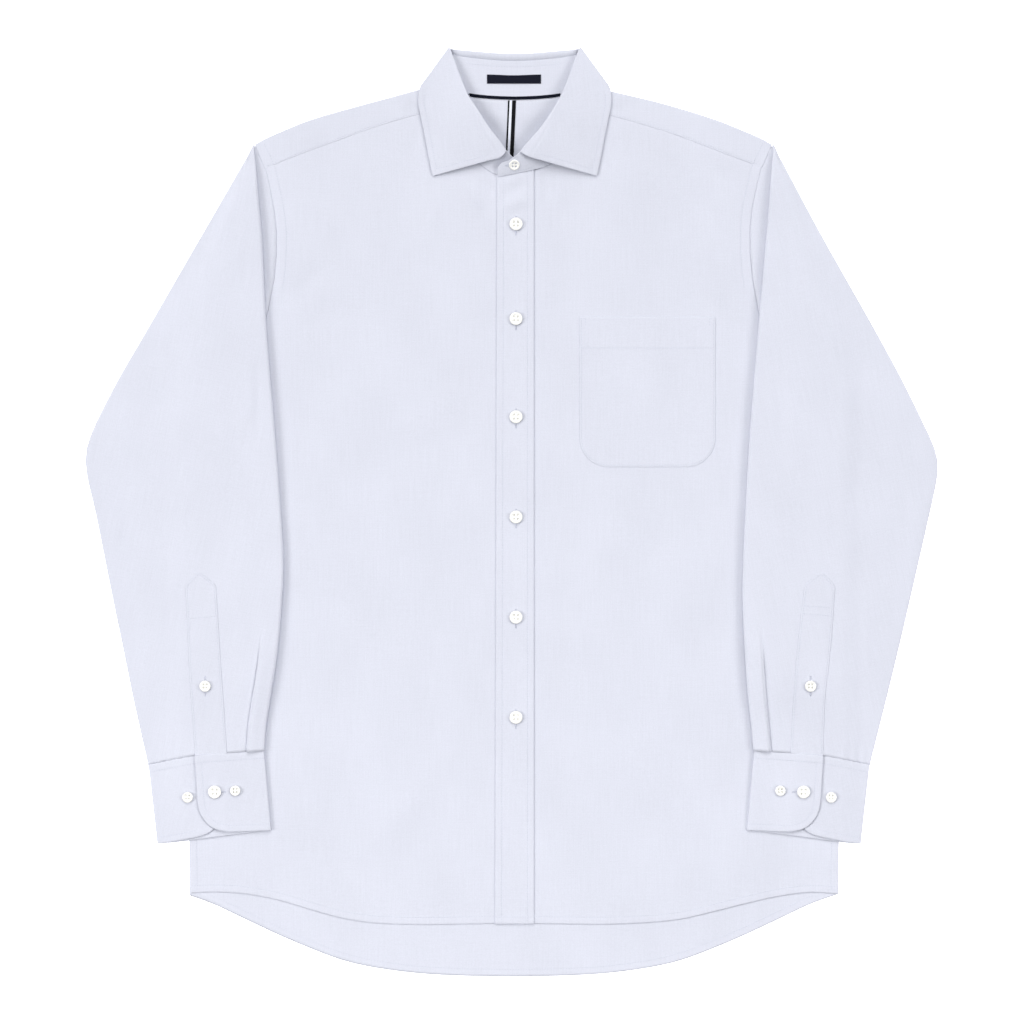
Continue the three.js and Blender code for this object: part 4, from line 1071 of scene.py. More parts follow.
def sleeve_row(side, outer_y, inner_y):
    """One ring of the sleeve: under layer, outer fold, top layer, inner fold, and back under."""
    sign = SIDES[side]
    cap = outer_y > UNDERARM_Y
    outer = look_up(SLEEVE_OUTER, "y", side, outer_y)
    inner = look_up(SLEEVE_INNER, "y", side, inner_y)
    tip = CAP_TIP["out"] + body_edge(side, 330) - body_edge("left", 330)
    share = (CAP_TIP["y"] - outer_y) / (CAP_TIP["y"] - UNDERARM_Y)
    hidden = mix(tip, body_edge(side, UNDERARM_Y), share)
    seam = body_edge(side, min(outer_y, UNDERARM_Y)) + SEAM_OUT
    climb = ease((UNDERARM_Y - outer_y) / SEAM_CLIMB)
    half = WALL / 2
    narrow = 1 - ease((outer - hidden) / 24) if cap else 0
    top_at_outer = level(1 + 2 * narrow)
    outer_radius = (top_at_outer - level(0)) / 2
    at_cuff = ease((-150 - outer_y) / 60)
    inner_radius = mix(LAYER / 2, EDGE_ROLL, ease((326 - outer_y) / 40)) * mix(1, 0.7, at_cuff)
    fullness = ease((318 - outer_y) / 160) * (1 - at_cuff)
    pleat = PLEAT_HEIGHT * ease((PLEAT_START - outer_y) / PLEAT_RISE)

    def sag(x):
        return mix(inner_y, outer_y, cuff_sag((x - inner) / (outer - inner)))

    def puff(out):
        t = (outer - out) / (outer - inner)
        full = (2 * inner_radius - LAYER) * ease(t) + CROWN * fullness * np.sin(np.pi * np.clip(t, 0, 1))
        ends = ease(t * 12) * ease((1 - t) * 30)
        y = sag(out)
        gather = GATHER * np.sin(0.7 * out) * np.exp((-218 - y) / 8) * ease((out - inner) / 20)
        return full + ends * (soft_creases(sign * out, y, SLEEVE_CREASES[side]) + gather)

    start = back_armhole(side, outer_y) - LAP if cap else seam + GAP / 2
    outer_bend = outer - half - outer_radius
    low = mix(start, outer_bend, np.linspace(0, 1, 22))
    low_z = np.full_like(low, level(0)) if cap else mix(level(0), under_height(side, low, outer_y), climb)
    turn = np.linspace(0, np.pi, 8)[1:-1]
    steps = np.linspace(0, 1, 30)
    high = mix(outer_bend, hidden + 2 if cap else start, steps)
    if cap:
        span = mix(RAMP, high[0] - high[-1], ease((outer_y - UNDERARM_Y) / 70))
        high_z = mix(level(3), top_at_outer, ease((high - high[-1]) / max(span, 1)))
    else:
        high_z = under_height(side, high, outer_y) + LAYER
    inner_bend = inner + half + inner_radius
    near_end = hidden - LAYER / 2 - half if cap else seam - GAP / 2
    near = inner_bend + fold_places(near_end - inner_bend)
    near_z = level(3) + puff(near) + pleat * pleat_shape(near - inner)
    fold_z = level(2) + inner_radius
    fold_end = level(3) + puff(near[:1])[0] - fold_z
    x = [low, outer_bend + outer_radius * np.sin(turn), high, near[::-1]]
    z = [low_z, level(0) + outer_radius * (1 - np.cos(turn)), high_z + puff(high), near_z[::-1]]
    upper = np.cos(turn) > 0
    x += [inner_bend - inner_radius * np.sin(turn), near]
    z += [fold_z + np.where(upper, fold_end, inner_radius) * np.cos(turn), np.full_like(near, level(2))]
    if cap:
        strip = mix(near_end, body_edge(side, outer_y) - LAP, np.linspace(0, 1, 10))
        tuck = STRIP_TUCK * ease((body_edge(side, outer_y) + 3 - strip) / 4)
        x += [near_end + LAYER / 2 * np.sin(turn), strip]
        z += [level(2) - LAYER / 2 * (1 - np.cos(turn)), level(1) - tuck]
    x, z = np.concatenate(x), np.concatenate(z)
    return np.stack([sign * x, sag(x), z], 1)


def make_sleeve(side):
    cap_y = np.concatenate([np.linspace(322, 126, 56), [122, 118]])
    cap = np.array([sleeve_row(side, y, y) for y in cap_y])
    tip = np.array([SIDES[side] * look_up(SLEEVE_OUTER, "y", side, 330.0), CAP_TIP["top"], level(1.6)])
    ends = [mix(cap[0], tip, share) for share in (0.97, 0.9, 0.75, 0.5, 0.25)]
    cap = np.concatenate([ends, cap])
    places = spaced(len(ARM_ROWS["outer"]) - 1, 0.12, (0.02, 0.05), (0.04, 0.1))
    outer = refine(ARM_ROWS["outer"], places, breaks=(1,))
    inner = refine(ARM_ROWS["inner"], places, breaks=(1,))
    outer[-1] -= CUFF_TUCK
    inner[-1] -= CUFF_TUCK
    arm = np.array([sleeve_row(side, a, b) for a, b in zip(outer, inner)])
    join = np.stack([cap[-1, : arm.shape[1]], arm[0]])
    return [cap, join, arm]


def cuff_station(side, top, bottom, low, layer, inset):
    first_steps = np.array([0, 0.4, 1, 2.4, 4, 5.2, 6.2, 7.2, 9]) / 72
    share = np.concatenate([first_steps, np.linspace(0.18, 0.86, 12)])
    share = np.concatenate([share, 1 - np.array([7.5, 6.6, 5.6, 4.6, 3, 1.4, 0.6, 0]) / 72])
    out = mix(top, bottom, share) + CUFF_SHIFT[side] + inset
    top_y = look_up(CUFF_TOP, "out", "y", top) - GAP
    y = mix(top_y, low, share)
    z = under_height(side, out, y) + layer * CUFF_LAYER
    return np.stack([SIDES[side] * out, y, z], 1)


def cuff_lines(side):
    """Edges of the cuff that show: the top edge, the rounded overlap, and the under part's bottom."""
    shift = CUFF_SHIFT[side]
    rows = [[CUFF[c][k] for c in ("bottom", "low")] for k in range(len(CUFF["low"]))]
    top_end = (CUFF["top"][-1], look_up(CUFF_TOP, "out", "y", CUFF["top"][-1]) - GAP)
    over = np.vstack([[top_end], rows[:CUFF_FOLDS[1] - 1:-1]])
    under = np.array(rows[1:CUFF_FOLDS[0] + 1])
    out = np.linspace(CUFF_TOP["out"][0], CUFF_TOP["out"][-1], 24)
    top = np.stack([out, look_up(CUFF_TOP, "out", "y", out) - GAP], 1)
    over = refine(over, places_between(len(over), 4), (1,))
    under = refine(under, places_between(len(under), 4))
    return {name: (line + (shift, 0)) * (SIDES[side], 1) for name, line in
            {"over": over, "under": under, "top": top}.items()}


def make_cuff(side):
    rows = np.stack([CUFF[c] for c in ("top", "bottom", "low", "layer")], 1)
    radius = CUFF_LAYER / 2
    lines = []
    kinds = []
    sections = [(0, CUFF_FOLDS[0]), (CUFF_FOLDS[0], CUFF_FOLDS[1]), (CUFF_FOLDS[1], len(rows) - 1)]
    for number, (start, stop) in enumerate(sections):
        part = rows[start:stop + 1].copy()
        if number:
            part[0, 3] = number - 1
            outward = 1 if number == 1 else -1
            for angle in np.linspace(0, np.pi, 8):
                turned = (1 + outward * math.cos(angle)) / 2
                inset = outward * radius * (math.sin(angle) - 1)
                lines.append(cuff_station(side, *rows[start, :3], turned, inset))
                kinds.append("fold")
        places = spaced(len(part) - 1, 0.2, (), () if number < 2 else (0.05, 0.12))
        for k, row in zip(places, refine(part, places)):
            at_fold = (number and k == 0) or (number < 2 and k == len(part) - 1)
            if not at_fold:
                lines.append(cuff_station(side, *row, 0))
                kinds.append(("under", "hidden", "over")[number])
    grid = np.array(lines)
    edges = cuff_lines(side)
    x, y, z = np.moveaxis(grid, 2, 0)
    for kind in ("under", "over"):
        chosen = np.array(kinds) == kind
        px, py = x[chosen], y[chosen]
        z[chosen] += seam_relief(px, py, edges[kind], CUFF_STITCH, 0.2, 0.2)
        z[chosen] += seam_relief(px, py, edges["top"], CUFF_TOP_STITCH, 0.15, 0.15)
    return [np.dstack([x, y, z])]


# What lies on the panels


def seat(x, y, tree, above):
    """Points over a piece, each moved up from where a line straight down first meets it."""
    z = np.array([[drop(tree, a, b)[0][2] for a, b in zip(*row)] for row in zip(x, y)])
    return np.dstack([x, y, z + above])


def sleeve_placket_line(side):
    """Outline of the sleeve placket, up its outer side, over the point and down its inner side."""
    sign = SIDES[side]
    rows = SLEEVE_PLACKET
    outer = np.stack([sign * rows[f"{side}_out"], rows["y"] - rows["drop"]], 1)
    inner = np.stack([sign * rows[f"{side}_in"], rows["y"]], 1)
    return np.vstack([outer[::-1], inner])


def make_sleeve_placket(side, sleeve):
    rows = np.stack([SLEEVE_PLACKET[c] for c in ("y", "drop", f"{side}_in", f"{side}_out")], 1)
    rows[-1, 0] -= CUFF_TUCK
    places = spaced(len(rows) - 1, 0.09, (0.03, 0.06, 0.12), (0.01, 0.03))
    rows = refine(rows, places, (1, 2))
    near = (0.012, 0.03, 0.055, 0.08, 0.11)
    across = spaced(1, 0.06, near, near)
    x = SIDES[side] * mix(rows[:, 2:3], rows[:, 3:4], across)
    y = rows[:, 0:1] - rows[:, 1:2] * across
    grid = seat(x, y, top_tree(sleeve), CLOTH / 2 + 0.05)
    grid[..., 2] += seam_relief(x, y, sleeve_placket_line(side), EDGE_STITCH, 0.05, 0.16)
    return [grid]


def placket_lines():
    left = np.array([(PLACKET["left"], PLACKET["top_left"]), (PLACKET["hem_left"], PLACKET["hem_y"])])
    right = np.array([(PLACKET["right"], PLACKET["top_right"]), (PLACKET["right"], PLACKET["hem_y"])])
    bottom = np.array([left[1], right[1]])
    return left, right, bottom


def make_front_placket():
    near = (0.4, 1, 2.2, 3.6, 4.8, 5.8, 6.8, 8)
    height = PLACKET["top_left"] - PLACKET["hem_y"]
    down = (spaced(height, 4, (0.4, 1, 2), near) / height)[:, None]
    width = PLACKET["right"] - PLACKET["left"]
    across = (spaced(width, 2.2, near, near) / width)[None]
    left = mix(PLACKET["left"], PLACKET["hem_left"], down)
    x = mix(left, PLACKET["right"], across)
    y = mix(mix(PLACKET["top_left"], PLACKET["top_right"], across), PLACKET["hem_y"], down)
    z = level(1) + PLACKET_LIFT + body_lift(x, y)
    sides = placket_lines()
    z -= HEM_SETTLE * (1 - ease(edge_distance(x, y, sides[2]) / 45))
    z += seam_relief(x, y, sides[0], PLACKET_STITCH, 0.1, 0.1)
    z += seam_relief(x, y, sides[1], PLACKET_STITCH, 0.1, 0.1)
    z += seam_relief(x, y, sides[2], HEM_STITCH, 0.2, 0.2)
    return [np.dstack([x, y, z])]


def pocket_line():
    """Outline of the pocket, down the left side, round the bottom and up the right side."""
    corner = POCKET["corner"]
    low = POCKET["bottom"] + corner
    angle = np.linspace(0, np.pi / 2, 10)
    left = np.stack([POCKET["left"] + corner * (1 - np.cos(angle)), low - corner * np.sin(angle)], 1)
    right = left[::-1] * (-1, 1) + (POCKET["left"] + POCKET["right"], 0)
    return np.vstack([[(POCKET["left"], POCKET["top"])], left, right, [(POCKET["right"], POCKET["top"])]])


def make_pocket():
    centre = (POCKET["left"] + POCKET["right"]) / 2
    half = (POCKET["right"] - POCKET["left"]) / 2
    straight = POCKET["bottom"] + POCKET["corner"]
    near = (0.4, 1, 2, POCKET_HEM - 1.5, POCKET_HEM - 0.7, POCKET_HEM, POCKET_HEM + 0.7, POCKET_HEM + 1.5)
    down = POCKET["top"] - np.unique(np.concatenate([near, spaced(POCKET["top"] - straight, 3.6)]))
    angle = np.linspace(0, np.pi / 2, 26)[1:]
    y = np.concatenate([down[down >= straight], straight - POCKET["corner"] * np.sin(angle)])
    width = np.full_like(y, half)
    width[-len(angle):] = half - POCKET["corner"] * (1 - np.cos(angle))
    near = (0.005, 0.014, 0.03, 0.055, 0.075, 0.09, 0.105, 0.125)
    across = spaced(2, 0.055, near, near) - 1
    x = centre + width[:, None] * across
    y = np.repeat(y[:, None], x.shape[1], 1)
    z = level(1) + POCKET_LIFT + body_lift(x, y) + seam_relief(x, y, pocket_line(), POCKET_STITCH, 0.04, 0.1)
    z += seam_relief(x, y, np.array([(-500, POCKET["top"]), (500, POCKET["top"])]), POCKET_HEM, 0.08, 0.1)
    return [np.dstack([x, y, z])]


def make_label():
    x = np.linspace(LABEL["left"], LABEL["right"], 60)
    y = np.linspace(LABEL["top"], LABEL["bottom"], 14)
    x, y = np.meshgrid(x, y)
    across = (x - LABEL["left"]) / (LABEL["right"] - LABEL["left"])
    bow = np.sin(np.pi * across) ** 2
    z = level(1) + DOUBLE_CLOTH / 2 + TRIM_CLOTH / 2 + 0.08 + 0.45 * bow
    return [np.dstack([x, y - 0.8 * bow * (y - LABEL["bottom"]) / 8.2, z])]


def make_tape():
    x = np.linspace(TAPE["left"], TAPE["right"], 90)
    seam_y = look_up(BACK_NECK, "out", "y", np.abs(x - COLLAR_X))
    y = seam_y + TAPE["width"] * np.linspace(0.5, -0.5, 9)[:, None]
    x = np.repeat(x[None], 9, 0)
    z = level(1) + CLOTH / 2 + TRIM_CLOTH / 2 + 0.4 + 0 * x
    return [np.dstack([x, y, z])]


def make_ribbon():
    down = np.linspace(0, 1, 80)[:, None]
    across = np.linspace(-0.5, 0.5, RIBBON_COLUMNS + 1)
    x = mix(RIBBON["top_x"], RIBBON["bottom_x"], down) + RIBBON["width"] * across
    y = mix(RIBBON["top_y"], RIBBON["bottom_y"], down) + 0 * x
    z = level(0) + neck_rise(x, y) + CLOTH / 2 + TRIM_CLOTH / 2 + 0.1
    return [np.dstack([x, y, z])]


# Sewing


def offset_line(line, inset):
    """The same line moved sideways, to its left for a positive inset."""
    step = np.diff(line, axis=0)
    step /= np.linalg.norm(step, axis=1, keepdims=True)
    before, after = np.vstack([step[:1], step]), np.vstack([step, step[-1:]])
    along = before + after
    along /= np.maximum(np.linalg.norm(along, axis=1, keepdims=True), 1e-9)
    spread = 1 / np.maximum((along * after).sum(1), 0.5)
    return line + np.stack([-along[:, 1], along[:, 0]], 1) * (inset * spread)[:, None]


def walk(line, pitch, start=0.0, stop=0.0):
    """Places along a line at an even pitch, with the direction at each."""
    lengths = np.linalg.norm(np.diff(line, axis=0), axis=1)
    along = np.concatenate([[0], np.cumsum(lengths)])
    count = int((along[-1] - start - stop) / pitch)
    at = start + pitch * (np.arange(count) + 0.5)
    places = np.stack([np.interp(at, along, line[:, k]) for k in (0, 1)], 1)
    ahead = np.stack([np.interp(at + 0.2, along, line[:, k]) for k in (0, 1)], 1)
    behind = np.stack([np.interp(at - 0.2, along, line[:, k]) for k in (0, 1)], 1)
    return places, ahead - behind


class Sewing:
    """Threads that lie on the cloth, gathered into one mesh."""

    RINGS = ((-0.5, 0.0, -0.3), (-0.32, 0.8, 0.02), (0.0, 1.0, 0.1), (0.32, 0.8, 0.02), (0.5, 0.0, -0.3))

    def __init__(self):
        self.points = []
        self.faces = []

    def stitch(self, tree, x, y, direction, length=STITCH["length"], width=STITCH["width"]):
        """One thread: a slim form that rises from the cloth and dips back into it."""
        point, normal = drop(tree, x, y)
        along = Vector((direction[0], direction[1], 0)).normalized()
        along = (along - normal * along.dot(normal)).normalized()
        aside = normal.cross(along)
        corners = []
        for share, wide, high in self.RINGS:
            middle = point + along * (share * length) + normal * high
            if wide == 0:
                corners.append([len(self.points)])
                self.points.append(middle)
                continue
            corners.append(list(range(len(self.points), len(self.points) + 4)))
            for a, n in ((1, 0), (0, 1), (-1, 0), (0, -1)):
                self.points.append(middle + (aside * a + normal * n) * (wide * width / 2))
        tip, *rings, end = corners
        for k in range(4):
            after = (k + 1) % 4
            self.faces.append((tip[0], rings[0][after], rings[0][k]))
            for low, high in zip(rings, rings[1:]):
                self.faces.append((low[k], low[after], high[after], high[k]))
            self.faces.append((end[0], rings[-1][k], rings[-1][after]))

    def row(self, tree, line, inset=0.0, start=0.0, stop=0.0, pitch=PITCH):
        places, directions = walk(offset_line(np.asarray(line, float), inset), pitch, start, stop)
        for (x, y), direction in zip(places, directions):
            self.stitch(tree, x, y, direction)

    def satin(self, tree, start, stop, width, pitch=0.5):
        """Close threads across a line, as in a bar tack or one side of a buttonhole."""
        line = np.array([start, stop], float)
        places, directions = walk(line, pitch)
        for (x, y), (dx, dy) in zip(places, directions):
            self.stitch(tree, x, y, (-dy, dx), width, 0.5)

    def buttonhole(self, tree, x, y, length, upright):
        """Two sides and two ends of satin stitches round a slit."""
        along = np.array([0, 1]) if upright else np.array([1, 0])
        aside = along[::-1]
        middle = np.array([x, y])
        for sign in (-1, 1):
            start, stop = middle - along * length / 2, middle + along * length / 2
            self.satin(tree, start + aside * sign * 0.45, stop + aside * sign * 0.45, 0.8)
            end = middle + along * sign * length / 2
            self.satin(tree, end - aside * 0.8, end + aside * 0.8, 0.9)

    def bridge(self, middle, along, normal, length, width):
        """One thread between two points of a button, clear of the cloth."""
        aside = normal.cross(along)
        first = len(self.points)
        rings = ((-0.5, 0.5, -0.5), (-0.35, 0.9, 0.0), (0.0, 1.0, 0.18), (0.35, 0.9, 0.0), (0.5, 0.5, -0.5))
        for share, wide, high in rings:
            at = middle + along * (share * length) + normal * high
            for a, n in ((1, 0), (0, 1), (-1, 0), (0, -1)):
                self.points.append(at + (aside * a + normal * n) * (wide * width / 2))
        for k in range(len(rings) - 1):
            for c in range(4):
                low, after = first + 4 * k + c, first + 4 * k + (c + 1) % 4
                self.faces.append((low, after, after + 4, low + 4))
        last = first + 4 * (len(rings) - 1)
        self.faces.append(tuple(first + c for c in (3, 2, 1, 0)))
        self.faces.append(tuple(last + c for c in range(4)))

    def build(self, name, material):
        piece = new_object(name, [tuple(p) for p in self.points], self.faces, material)
        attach(piece, "root")


# Buttons


def button_surface(size):
    """Top and bottom of a four-hole button as two grids, at heights from its middle."""
    share = np.sin(np.linspace(-1, 1, BUTTON["cells"] + 1) * np.pi / 2)
    u, v = np.meshgrid(share, share)
    radius = size / 2
    x = radius * u * np.sqrt(1 - v**2 / 2)
    y = radius * v * np.sqrt(1 - u**2 / 2)
    out = np.hypot(x, y)
    edge = BUTTON["edge"]
    fall = np.clip((out - radius + edge) / edge, 0, 1)
    top = BUTTON["thickness"] / 2 - edge * (1 - np.sqrt(1 - fall ** 2))
    top -= BUTTON["dish"] * (1 - ease((out - radius * BUTTON["dish_share"]) / 0.8))
    reach = size * BUTTON["hole_share"]
    for sx in (-1, 1):
        for sy in (-1, 1):
            away = np.hypot(x - sx * reach, y - sy * reach)
            top -= BUTTON["hole_depth"] * (1 - ease((away - BUTTON["hole"] / 2 + 0.1) / 0.25))
    low = BUTTON["thickness"] / 2 - edge
    bottom = -low - edge * np.sqrt(1 - fall**2) * 0.6
    rim = (out > radius - 1e-6)
    top[rim] = bottom[rim] = 0
    return np.dstack([x, y, top]), np.dstack([x, y, bottom])


def make_button(name, x, y, size, tree, thread):
    """A button on the plane of the cloth under it, sewn on by two bars of thread."""
    reach = size * 0.3
    moves = ((reach, 0), (-reach, 0), (0, reach), (0, -reach), (0, 0))
    spots = [drop(tree, x + dx, y + dy)[0] for dx, dy in moves]
    normal = (spots[0] - spots[1]).cross(spots[2] - spots[3]).normalized()
    across = Vector((1, 0, 0))
    across = (across - normal * across.dot(normal)).normalized()
    along = normal.cross(across)
    centre = Vector((x, y, 0))
    high = max((spot - centre).dot(normal) for spot in spots)
    middle = centre + normal * (high + BUTTON["thickness"] / 2 + BUTTON["shank"])
    middle = Vector((x, y, middle[2]))
    axes = np.array([across, along, normal])
    grids = [np.asarray(grid) @ axes + np.array(middle) for grid in button_surface(size)]
    piece = solid(name, grids, BUTTON_SHELL)
    reach = size * BUTTON["hole_share"]
    for side in (-1, 1):
        spot = middle + across * (reach * side)
        thread.bridge(spot + normal * 0.5, along, normal, 2 * reach - 0.9 * BUTTON["hole"], 0.2)
    return piece


def solid(name, grids, material):
    """A closed form from a top and a bottom grid that share their border."""
    top, bottom = grids
    points, quads = weld([top, bottom[:, ::-1]])
    faces = [tuple(dict.fromkeys(quad)) for quad in quads.tolist()]
    return new_object(name, points, [face for face in faces if len(face) > 2], material)


# Finishes


FADE = (0.3, 0.7)  # the part of a noise's range that a colour or a roughness is spread over
WEAVE = {"tone_height": 1.4, "uneven": 0.6, "bump": 0.35, "depth_share": 0.2, "roughness": (0.76, 0.92)}
RIB = {"uneven": 0.3, "bump": 0.5, "depth": 0.0001}
BLACK_STRIPE = (0.003, 0.003, 0.005)
WHITE_STRIPE = (0.72, 0.75, 0.84)
PEARL = {"scale": 260.0, "dark": (0.83, 0.83, 0.8), "light": (0.9, 0.9, 0.87), "roughness": (0.25, 0.4)}
PAPER = {"scale": 3.0, "dark": (0.96, 0.96, 0.96), "light": (0.98, 0.98, 0.98)}


def set_inputs(tree, node, inputs):
    """Gives each named input a number, a colour or another node's output."""
    for name, value in inputs.items():
        if isinstance(value, bpy.types.NodeSocket):
            tree.links.new(value, node.inputs[name])
        else:
            node.inputs[name].default_value = value


def add_node(tree, kind, inputs=(), **settings):
    made = tree.nodes.new("ShaderNode" + kind)
    for name, value in settings.items():
        setattr(made, name, value)
    set_inputs(tree, made, dict(inputs))
    return made


def calculate(tree, operation, *values):
    return add_node(tree, "Math", dict(enumerate(values)), operation=operation).outputs[0]


def place_on(tree):
    """The place on the object, in metres."""
    return add_node(tree, "TexCoord").outputs["Object"]


def in_steps(tree, size, turn=0.0):
    """The place on the object, counted in steps of this size along turned axes."""
    inputs = {"Vector": place_on(tree), "Rotation": (0, 0, turn), "Scale": size}
    return add_node(tree, "Mapping", inputs, vector_type="TEXTURE").outputs[0]


def clouds(tree, place, scale, detail):
    return add_node(tree, "TexNoise", {"Vector": place, "Scale": scale, "Detail": detail}).outputs[0]


def bands(tree, place, direction, uneven):
    """One band a step, across this direction."""
    inputs = {"Vector": place, "Scale": WAVE_PERIOD, "Distortion": uneven}
    return add_node(tree, "TexWave", inputs, wave_type="BANDS", bands_direction=direction).outputs[1]


def bump(tree, height, strength, depth):
    return add_node(tree, "Bump", {"Height": height, "Strength": strength, "Distance": depth}).outputs[0]


def new_material(name):
    material = bpy.data.materials.new(name)
    material.use_nodes = True
    tree = material.node_tree
    return material, tree, tree.nodes["Principled BSDF"]


def ramp(tree, factor, *stops, steps=False):
    """A colour ramp with these places and colours."""
    node = add_node(tree, "ValToRGB", {"Fac": factor})
    node.color_ramp.interpolation = "CONSTANT" if steps else "LINEAR"
    while len(node.color_ramp.elements) < len(stops):
        node.color_ramp.elements.new(0.5)
    for element, (place, colour) in zip(node.color_ramp.elements, stops):
        element.position = place
        element.color = (*colour, 1)
    return node.outputs[0]


def fade(tree, tone, dark, light):
    """A colour between a dark and a light one, by the tone."""
    return ramp(tree, tone, (FADE[0], dark), (FADE[1], light))


def roughness(tree, tone, limits):
    """A roughness between these limits, by the tone."""
    low, high = limits
    inputs = {"Value": tone, "From Min": FADE[0], "From Max": FADE[1], "To Min": low, "To Max": high}
    return add_node(tree, "MapRange", inputs).outputs[0]


def woven(name, dark, light, turn=0.0, yarns=None, weave=None, sheen=0.2, shine=0.25):
    """Cloth of fine yarns: uneven warp and weft, and the small bumps where they cross."""
    material, tree, shader = new_material(name)
    tone = 0.0
    for size, share in yarns or YARNS:
        yarn = clouds(tree, in_steps(tree, size, turn), 1.0, 1.0)
        tone = calculate(tree, "MULTIPLY_ADD", yarn, share, tone)
    pitch = weave or WEAVE_PITCH
    laid = in_steps(tree, (pitch,) * 3, turn)
    warp, weft = [bands(tree, laid, direction, WEAVE["uneven"]) for direction in "XY"]
    knots = calculate(tree, "MULTIPLY", warp, weft)
    height = calculate(tree, "MULTIPLY_ADD", tone, WEAVE["tone_height"], knots)
    set_inputs(tree, shader, {
        "Base Color": fade(tree, tone, dark, light),
        "Roughness": roughness(tree, tone, WEAVE["roughness"]),
        "Normal": bump(tree, height, WEAVE["bump"], pitch * WEAVE["depth_share"]),
        "Sheen Weight": sheen,
        "Sheen Roughness": 0.5,
        "Specular IOR Level": shine,
    })
    return material


def shades(colour, spread):
    """A darker and a lighter shade of a colour."""
    return [tuple(min(1.0, part * (1 + sign * spread)) for part in colour) for sign in (-1, 1)]


def striped_ribbon():
    """Black, white and black stripes along a grosgrain ribbon, set out from its left edge."""
    material, tree, shader = new_material("ribbon")
    start = Vector((RIBBON["top_x"], RIBBON["top_y"], 0))
    along = Vector((RIBBON["bottom_x"], RIBBON["bottom_y"], 0)) - start
    aside = Vector((-along[1], along[0], 0)).normalized() / RIBBON["width"]
    inputs = {0: place_on(tree), 1: tuple(aside / MM)}
    across = add_node(tree, "VectorMath", inputs, operation="DOT_PRODUCT").outputs["Value"]
    share = calculate(tree, "ADD", across, 0.5 - start.dot(aside))
    ribs = bands(tree, in_steps(tree, (1.0, RIB_PITCH, 1.0)), "Y", RIB["uneven"])
    first, second = RIBBON_STRIPES
    stops = (0.0, BLACK_STRIPE), (first, WHITE_STRIPE), (second, BLACK_STRIPE)
    set_inputs(tree, shader, {
        "Base Color": ramp(tree, share, *stops, steps=True),
        "Normal": bump(tree, ribs, RIB["bump"], RIB["depth"]),
        "Roughness": 0.7,
        "Specular IOR Level": 0.12,
    })
    return material


def pearl(name):
    """Glossy off-white button resin, with faint clouds."""
    material, tree, shader = new_material(name)
    tone = clouds(tree, place_on(tree), PEARL["scale"], 2.0)
    set_inputs(tree, shader, {
        "Base Color": fade(tree, tone, PEARL["dark"], PEARL["light"]),
        "Roughness": roughness(tree, tone, PEARL["roughness"]),
        "Coat Weight": 0.25,
    })
    return material


SHIRTING = woven("shirting", *shades(CLOTH_COLOUR, TONE_SPREAD))
SLEEVE_CLOTH = {
    side: woven(f"shirting_{side}_sleeve", *shades(CLOTH_COLOUR, TONE_SPREAD), turn=sign * SLEEVE_TURN)
    for side, sign in SIDES.items()
}
COLLAR_CLOTH = woven("shirting_collar", *shades(CLOTH_COLOUR, TONE_SPREAD), turn=COLLAR_TURN)
# The thread's colour holds painted shade: darker than the cloth, for the dips of the stitches
THREAD = woven("thread", *shades(THREAD_COLOUR_WITH_PAINTED_SHADE, 0.06), yarns=THREAD_YARNS, sheen=0.1)
BUTTON_THREAD = woven("button_thread", *shades((0.8, 0.8, 0.8), 0.05), yarns=THREAD_YARNS, sheen=0.0)
TRIM_WEAVE = {"yarns": THREAD_YARNS, "weave": 0.0006, "sheen": 0.0}
TAPE_CLOTH = woven("tape", *shades(TAPE_COLOUR, 0.25), shine=0.12, **TRIM_WEAVE)
LABEL_CLOTH = woven("label", *shades(LABEL_COLOUR, 0.2), shine=0.15, **TRIM_WEAVE)
RIBBON_CLOTH = striped_ribbon()
BUTTON_SHELL = pearl("button")


# The camera and the light


def place_camera():
    camera = put_in_scene("camera", bpy.data.cameras.new("camera"))
    bpy.context.scene.camera = camera
    camera.data.lens = LENS
    camera.data.sensor_width = SENSOR
    camera.location = (
        (PHOTO_WIDTH / 2 - ORIGIN_PX[0]) * PIXEL * MM,
        (ORIGIN_PX[1] - PHOTO_WIDTH / 2) * PIXEL * MM,
        PHOTO_WIDTH * PIXEL * MM * LENS / SENSOR,
    )


def make_floor():
    material, tree, shader = new_material("floor")
    tone = clouds(tree, place_on(tree), PAPER["scale"], 2.0)
    set_inputs(tree, shader, {
        "Base Color": fade(tree, tone, PAPER["dark"], PAPER["light"]),
        "Roughness": 0.9,
        "Emission Color": (1, 1, 1, 1),
        "Emission Strength": FLOOR_GLOW,
    })
    bpy.ops.mesh.primitive_plane_add(size=8)
    floor = bpy.context.object
    floor.name = "floor"
    floor.location.z = -0.0005
    floor.data.materials.append(material)


def make_light():
    world = bpy.data.worlds.new("world")
    bpy.context.scene.world = world
    world.use_nodes = True
    sky = world.node_tree.nodes["Background"]
    sky.inputs["Color"].default_value = (*SKY["colour"], 1)
    sky.inputs["Strength"].default_value = SKY["strength"]
    for heading, height, brightness, spread in zip(*LAMPS.values()):
        lamp = put_in_scene(f"lamp_{heading:.0f}", bpy.data.lights.new("lamp", "SUN"))
        tilt = math.radians(90 - height)
        lamp.data.energy = brightness * math.pi / math.cos(tilt)
        lamp.data.angle = math.radians(spread)
        lamp.data.color = LAMP_COLOUR
        lamp.rotation_euler = (tilt, 0, math.radians(180 - heading))
    fill = put_in_scene("lamp_fill", bpy.data.lights.new("lamp", "AREA"))
    fill.data.size = FILL["size"]
    fill.data.energy = FILL["power"]
    fill.data.color = LAMP_COLOUR
    fill.location = FILL["place"]
    aim = Vector(FILL["aim"]) - Vector(FILL["place"])
    fill.rotation_euler = aim.to_track_quat("-Z", "Y").to_euler()
    bpy.context.scene.view_settings.view_transform = "Standard"


place_camera()
make_floor()
make_light()

# The cloth

